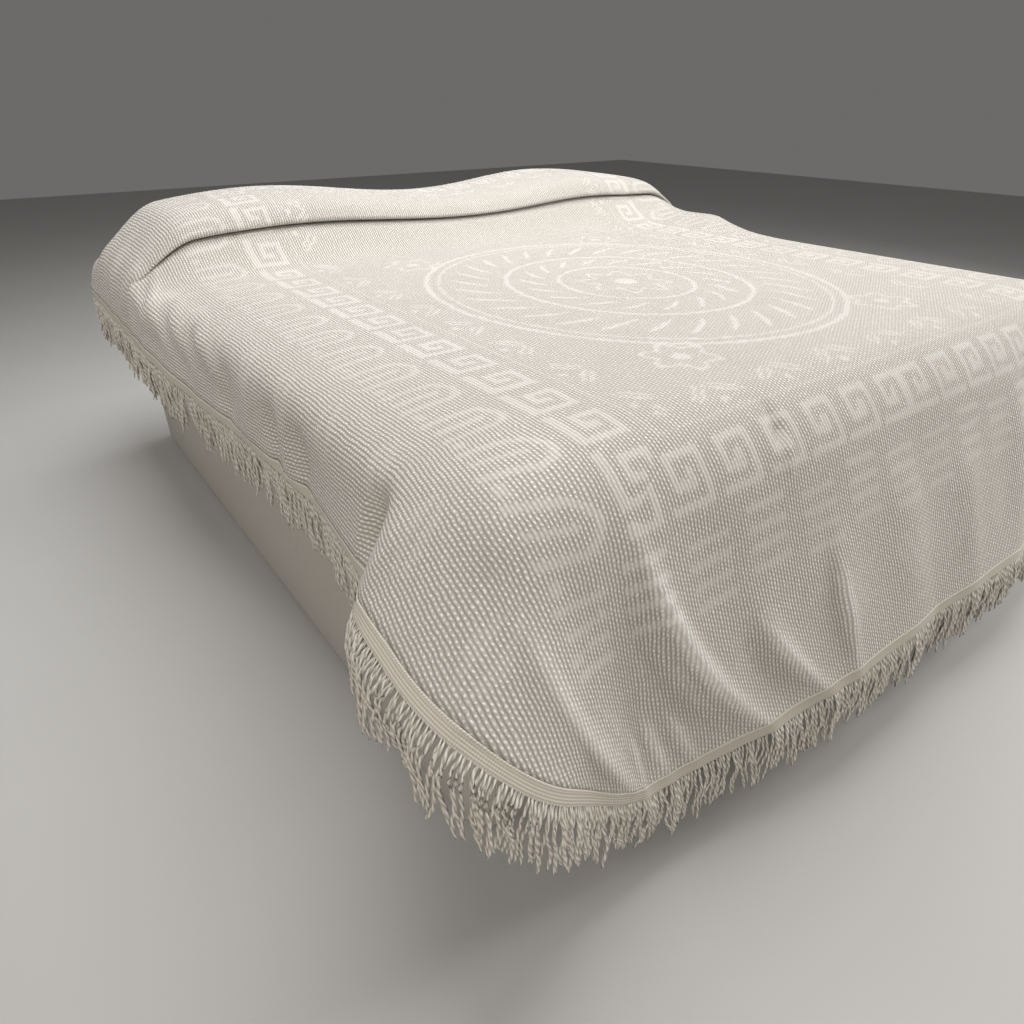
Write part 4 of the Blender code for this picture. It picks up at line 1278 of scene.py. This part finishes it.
bed_base_box = add_base()
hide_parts("bed_base")
base_piping = add_piping("bed_base_piping", base_outline(BASE_PIPED), BASE_HEIGHT - PIPED_DROP, base_cloth)

# %% [markdown]
# ## The pillows
# Two pillows lie end to end under the roll. They do not show, but the cloth would have nothing to lie on
# without them. Each is a closed crowned form that keeps to its solid, drawn in at the corners.

# %% The pillows' cotton
PILLOW_LIGHT = (0.850, 0.850, 0.830)
PILLOW_DARK = (0.620, 0.620, 0.600)
PILLOW_YARN, PILLOW_BUMP = 0.0011, 0.0040
YARN_RELIEF, PILLOW_SHADE = 0.05, (0.6, 0.3)


def pillow_cotton():
    """Close plain weave with faint creases."""
    made, tree, shader = start_material("pillow_cotton", roughness=0.85, sheen=0.06)
    x, y, z = read_place(tree)
    weave = x.ribs(PILLOW_YARN) * y.ribs(PILLOW_YARN)
    creases = noise(x, y * 0.5, z, scale=14.0, detail=4.0)
    # Painted shade: the colour follows the creases' height, so their hollows are darker.
    shade = weighed(PILLOW_SHADE, creases, weave)
    height = weave * YARN_RELIEF + creases
    finish_surface(shader, colour_between(shade, PILLOW_DARK, PILLOW_LIGHT), height, PILLOW_BUMP)
    return made


pillow_cloth = pillow_cotton()

# %% A pillow
PILLOW_PROFILE = np.array([
    (-0.075, 0.02), (-0.047, 0.15), (0.000, 0.42), (0.056, 0.455), (0.064, 0.86), (0.145, 0.955),
    (0.285, 0.945), (0.380, 0.84), (0.440, 0.62), (0.475, 0.30), (0.487, 0.10),
])
PILLOW_HALF = 0.425
PILLOW_CENTRES = {"pillow_left": -0.455, "pillow_right": 0.455}
PILLOW_EDGE, PILLOW_UNDER = 0.004, 0.0004
PILLOW_MIDDLE = 0.200
PILLOW_PINCH, PINCH_POWER, END_POWER = 0.15, 6, 4
PILLOW_SLACK = 0.985
PILLOW_SECTIONS, END_ANGLE = 41, 1.45


def add_pillow(node):
    """Sections across the pillow's length: the roll's profile scaled to its crest, sunk at the ends, and flat
    below."""
    ends = np.sin(np.linspace(-END_ANGLE, END_ANGLE, PILLOW_SECTIONS))
    x = PILLOW_CENTRES[node] + PILLOW_HALF * ends
    sunk = fall(x, np.full(len(x), TUCK_Y))[2]
    pinch = 1 - PILLOW_PINCH * np.abs(ends)**PINCH_POWER
    along = TUCK_Y + PILLOW_MIDDLE + (PILLOW_PROFILE[:, 0] - PILLOW_MIDDLE) * pinch[:, None] * PILLOW_SLACK
    rounded = np.sqrt(1 - ends**END_POWER)[:, None]
    rise = (crest(x)[:, None] * PILLOW_PROFILE[:, 1] + sunk[:, None]) * rounded * PILLOW_SLACK
    height = CLOTH_Z + np.maximum(rise, PILLOW_EDGE)
    top = np.stack([np.broadcast_to(x[:, None], along.shape), along, height], -1)
    under = top[:, [-1, 0]] * [1.0, 1.0, 0.0] + [0.0, 0.0, CLOTH_Z + PILLOW_UNDER]
    points = np.concatenate([top, under], 1)
    made = add_piece(node + "_body", points, [face[::-1] for face in capped(points)], pillow_cloth)
    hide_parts(node)
    return made


pillows = [add_pillow(node) for node in PILLOW_CENTRES]

# %% [markdown]
# ## The floor
# A plain pale floor, far wider than the bed.

# %% The floor
FLOOR_HALF = 9.0
FLOOR_LIGHT = (0.50, 0.492, 0.48)
FLOOR_DARK = (0.46, 0.452, 0.44)
FLOOR_BUMP = 0.0005


def pale_floor():
    """Matt pale grey with the faintest unevenness."""
    made, tree, shader = start_material("pale_floor", roughness=0.75)
    x, y, z = read_place(tree)
    cloud = noise(x, y, z, scale=1.3, detail=3.0)
    finish_surface(shader, colour_between(cloud, FLOOR_DARK, FLOOR_LIGHT), cloud, FLOOR_BUMP)
    return made


corners = [(-FLOOR_HALF, -FLOOR_HALF, 0.0), (FLOOR_HALF, -FLOOR_HALF, 0.0), (FLOOR_HALF, FLOOR_HALF, 0.0),
           (-FLOOR_HALF, FLOOR_HALF, 0.0)]
floor_mesh = bpy.data.meshes.new("floor")
floor_mesh.from_pydata(corners, [], [(0, 1, 2, 3)])
floor_mesh.materials.append(pale_floor())
floor = bpy.data.objects.new("floor", floor_mesh)
scene.collection.objects.link(floor)

# %% [markdown]
# ## The cloth's cut size
# The size the cloth was cut to is printed. Its flat area is the rectangle less what the two rounded foot
# corners take away.

FLAT_WIDTH = 2 * HEM_A
FLAT_LENGTH = HEM_B + HEAD_B
CUT_AREA = FLAT_WIDTH * FLAT_LENGTH - 2 * (1 - math.pi / 4) * CORNER**2
print("flat size", round(FLAT_WIDTH, 3), "by", round(FLAT_LENGTH, 3), "m, area", round(CUT_AREA, 3), "m2")
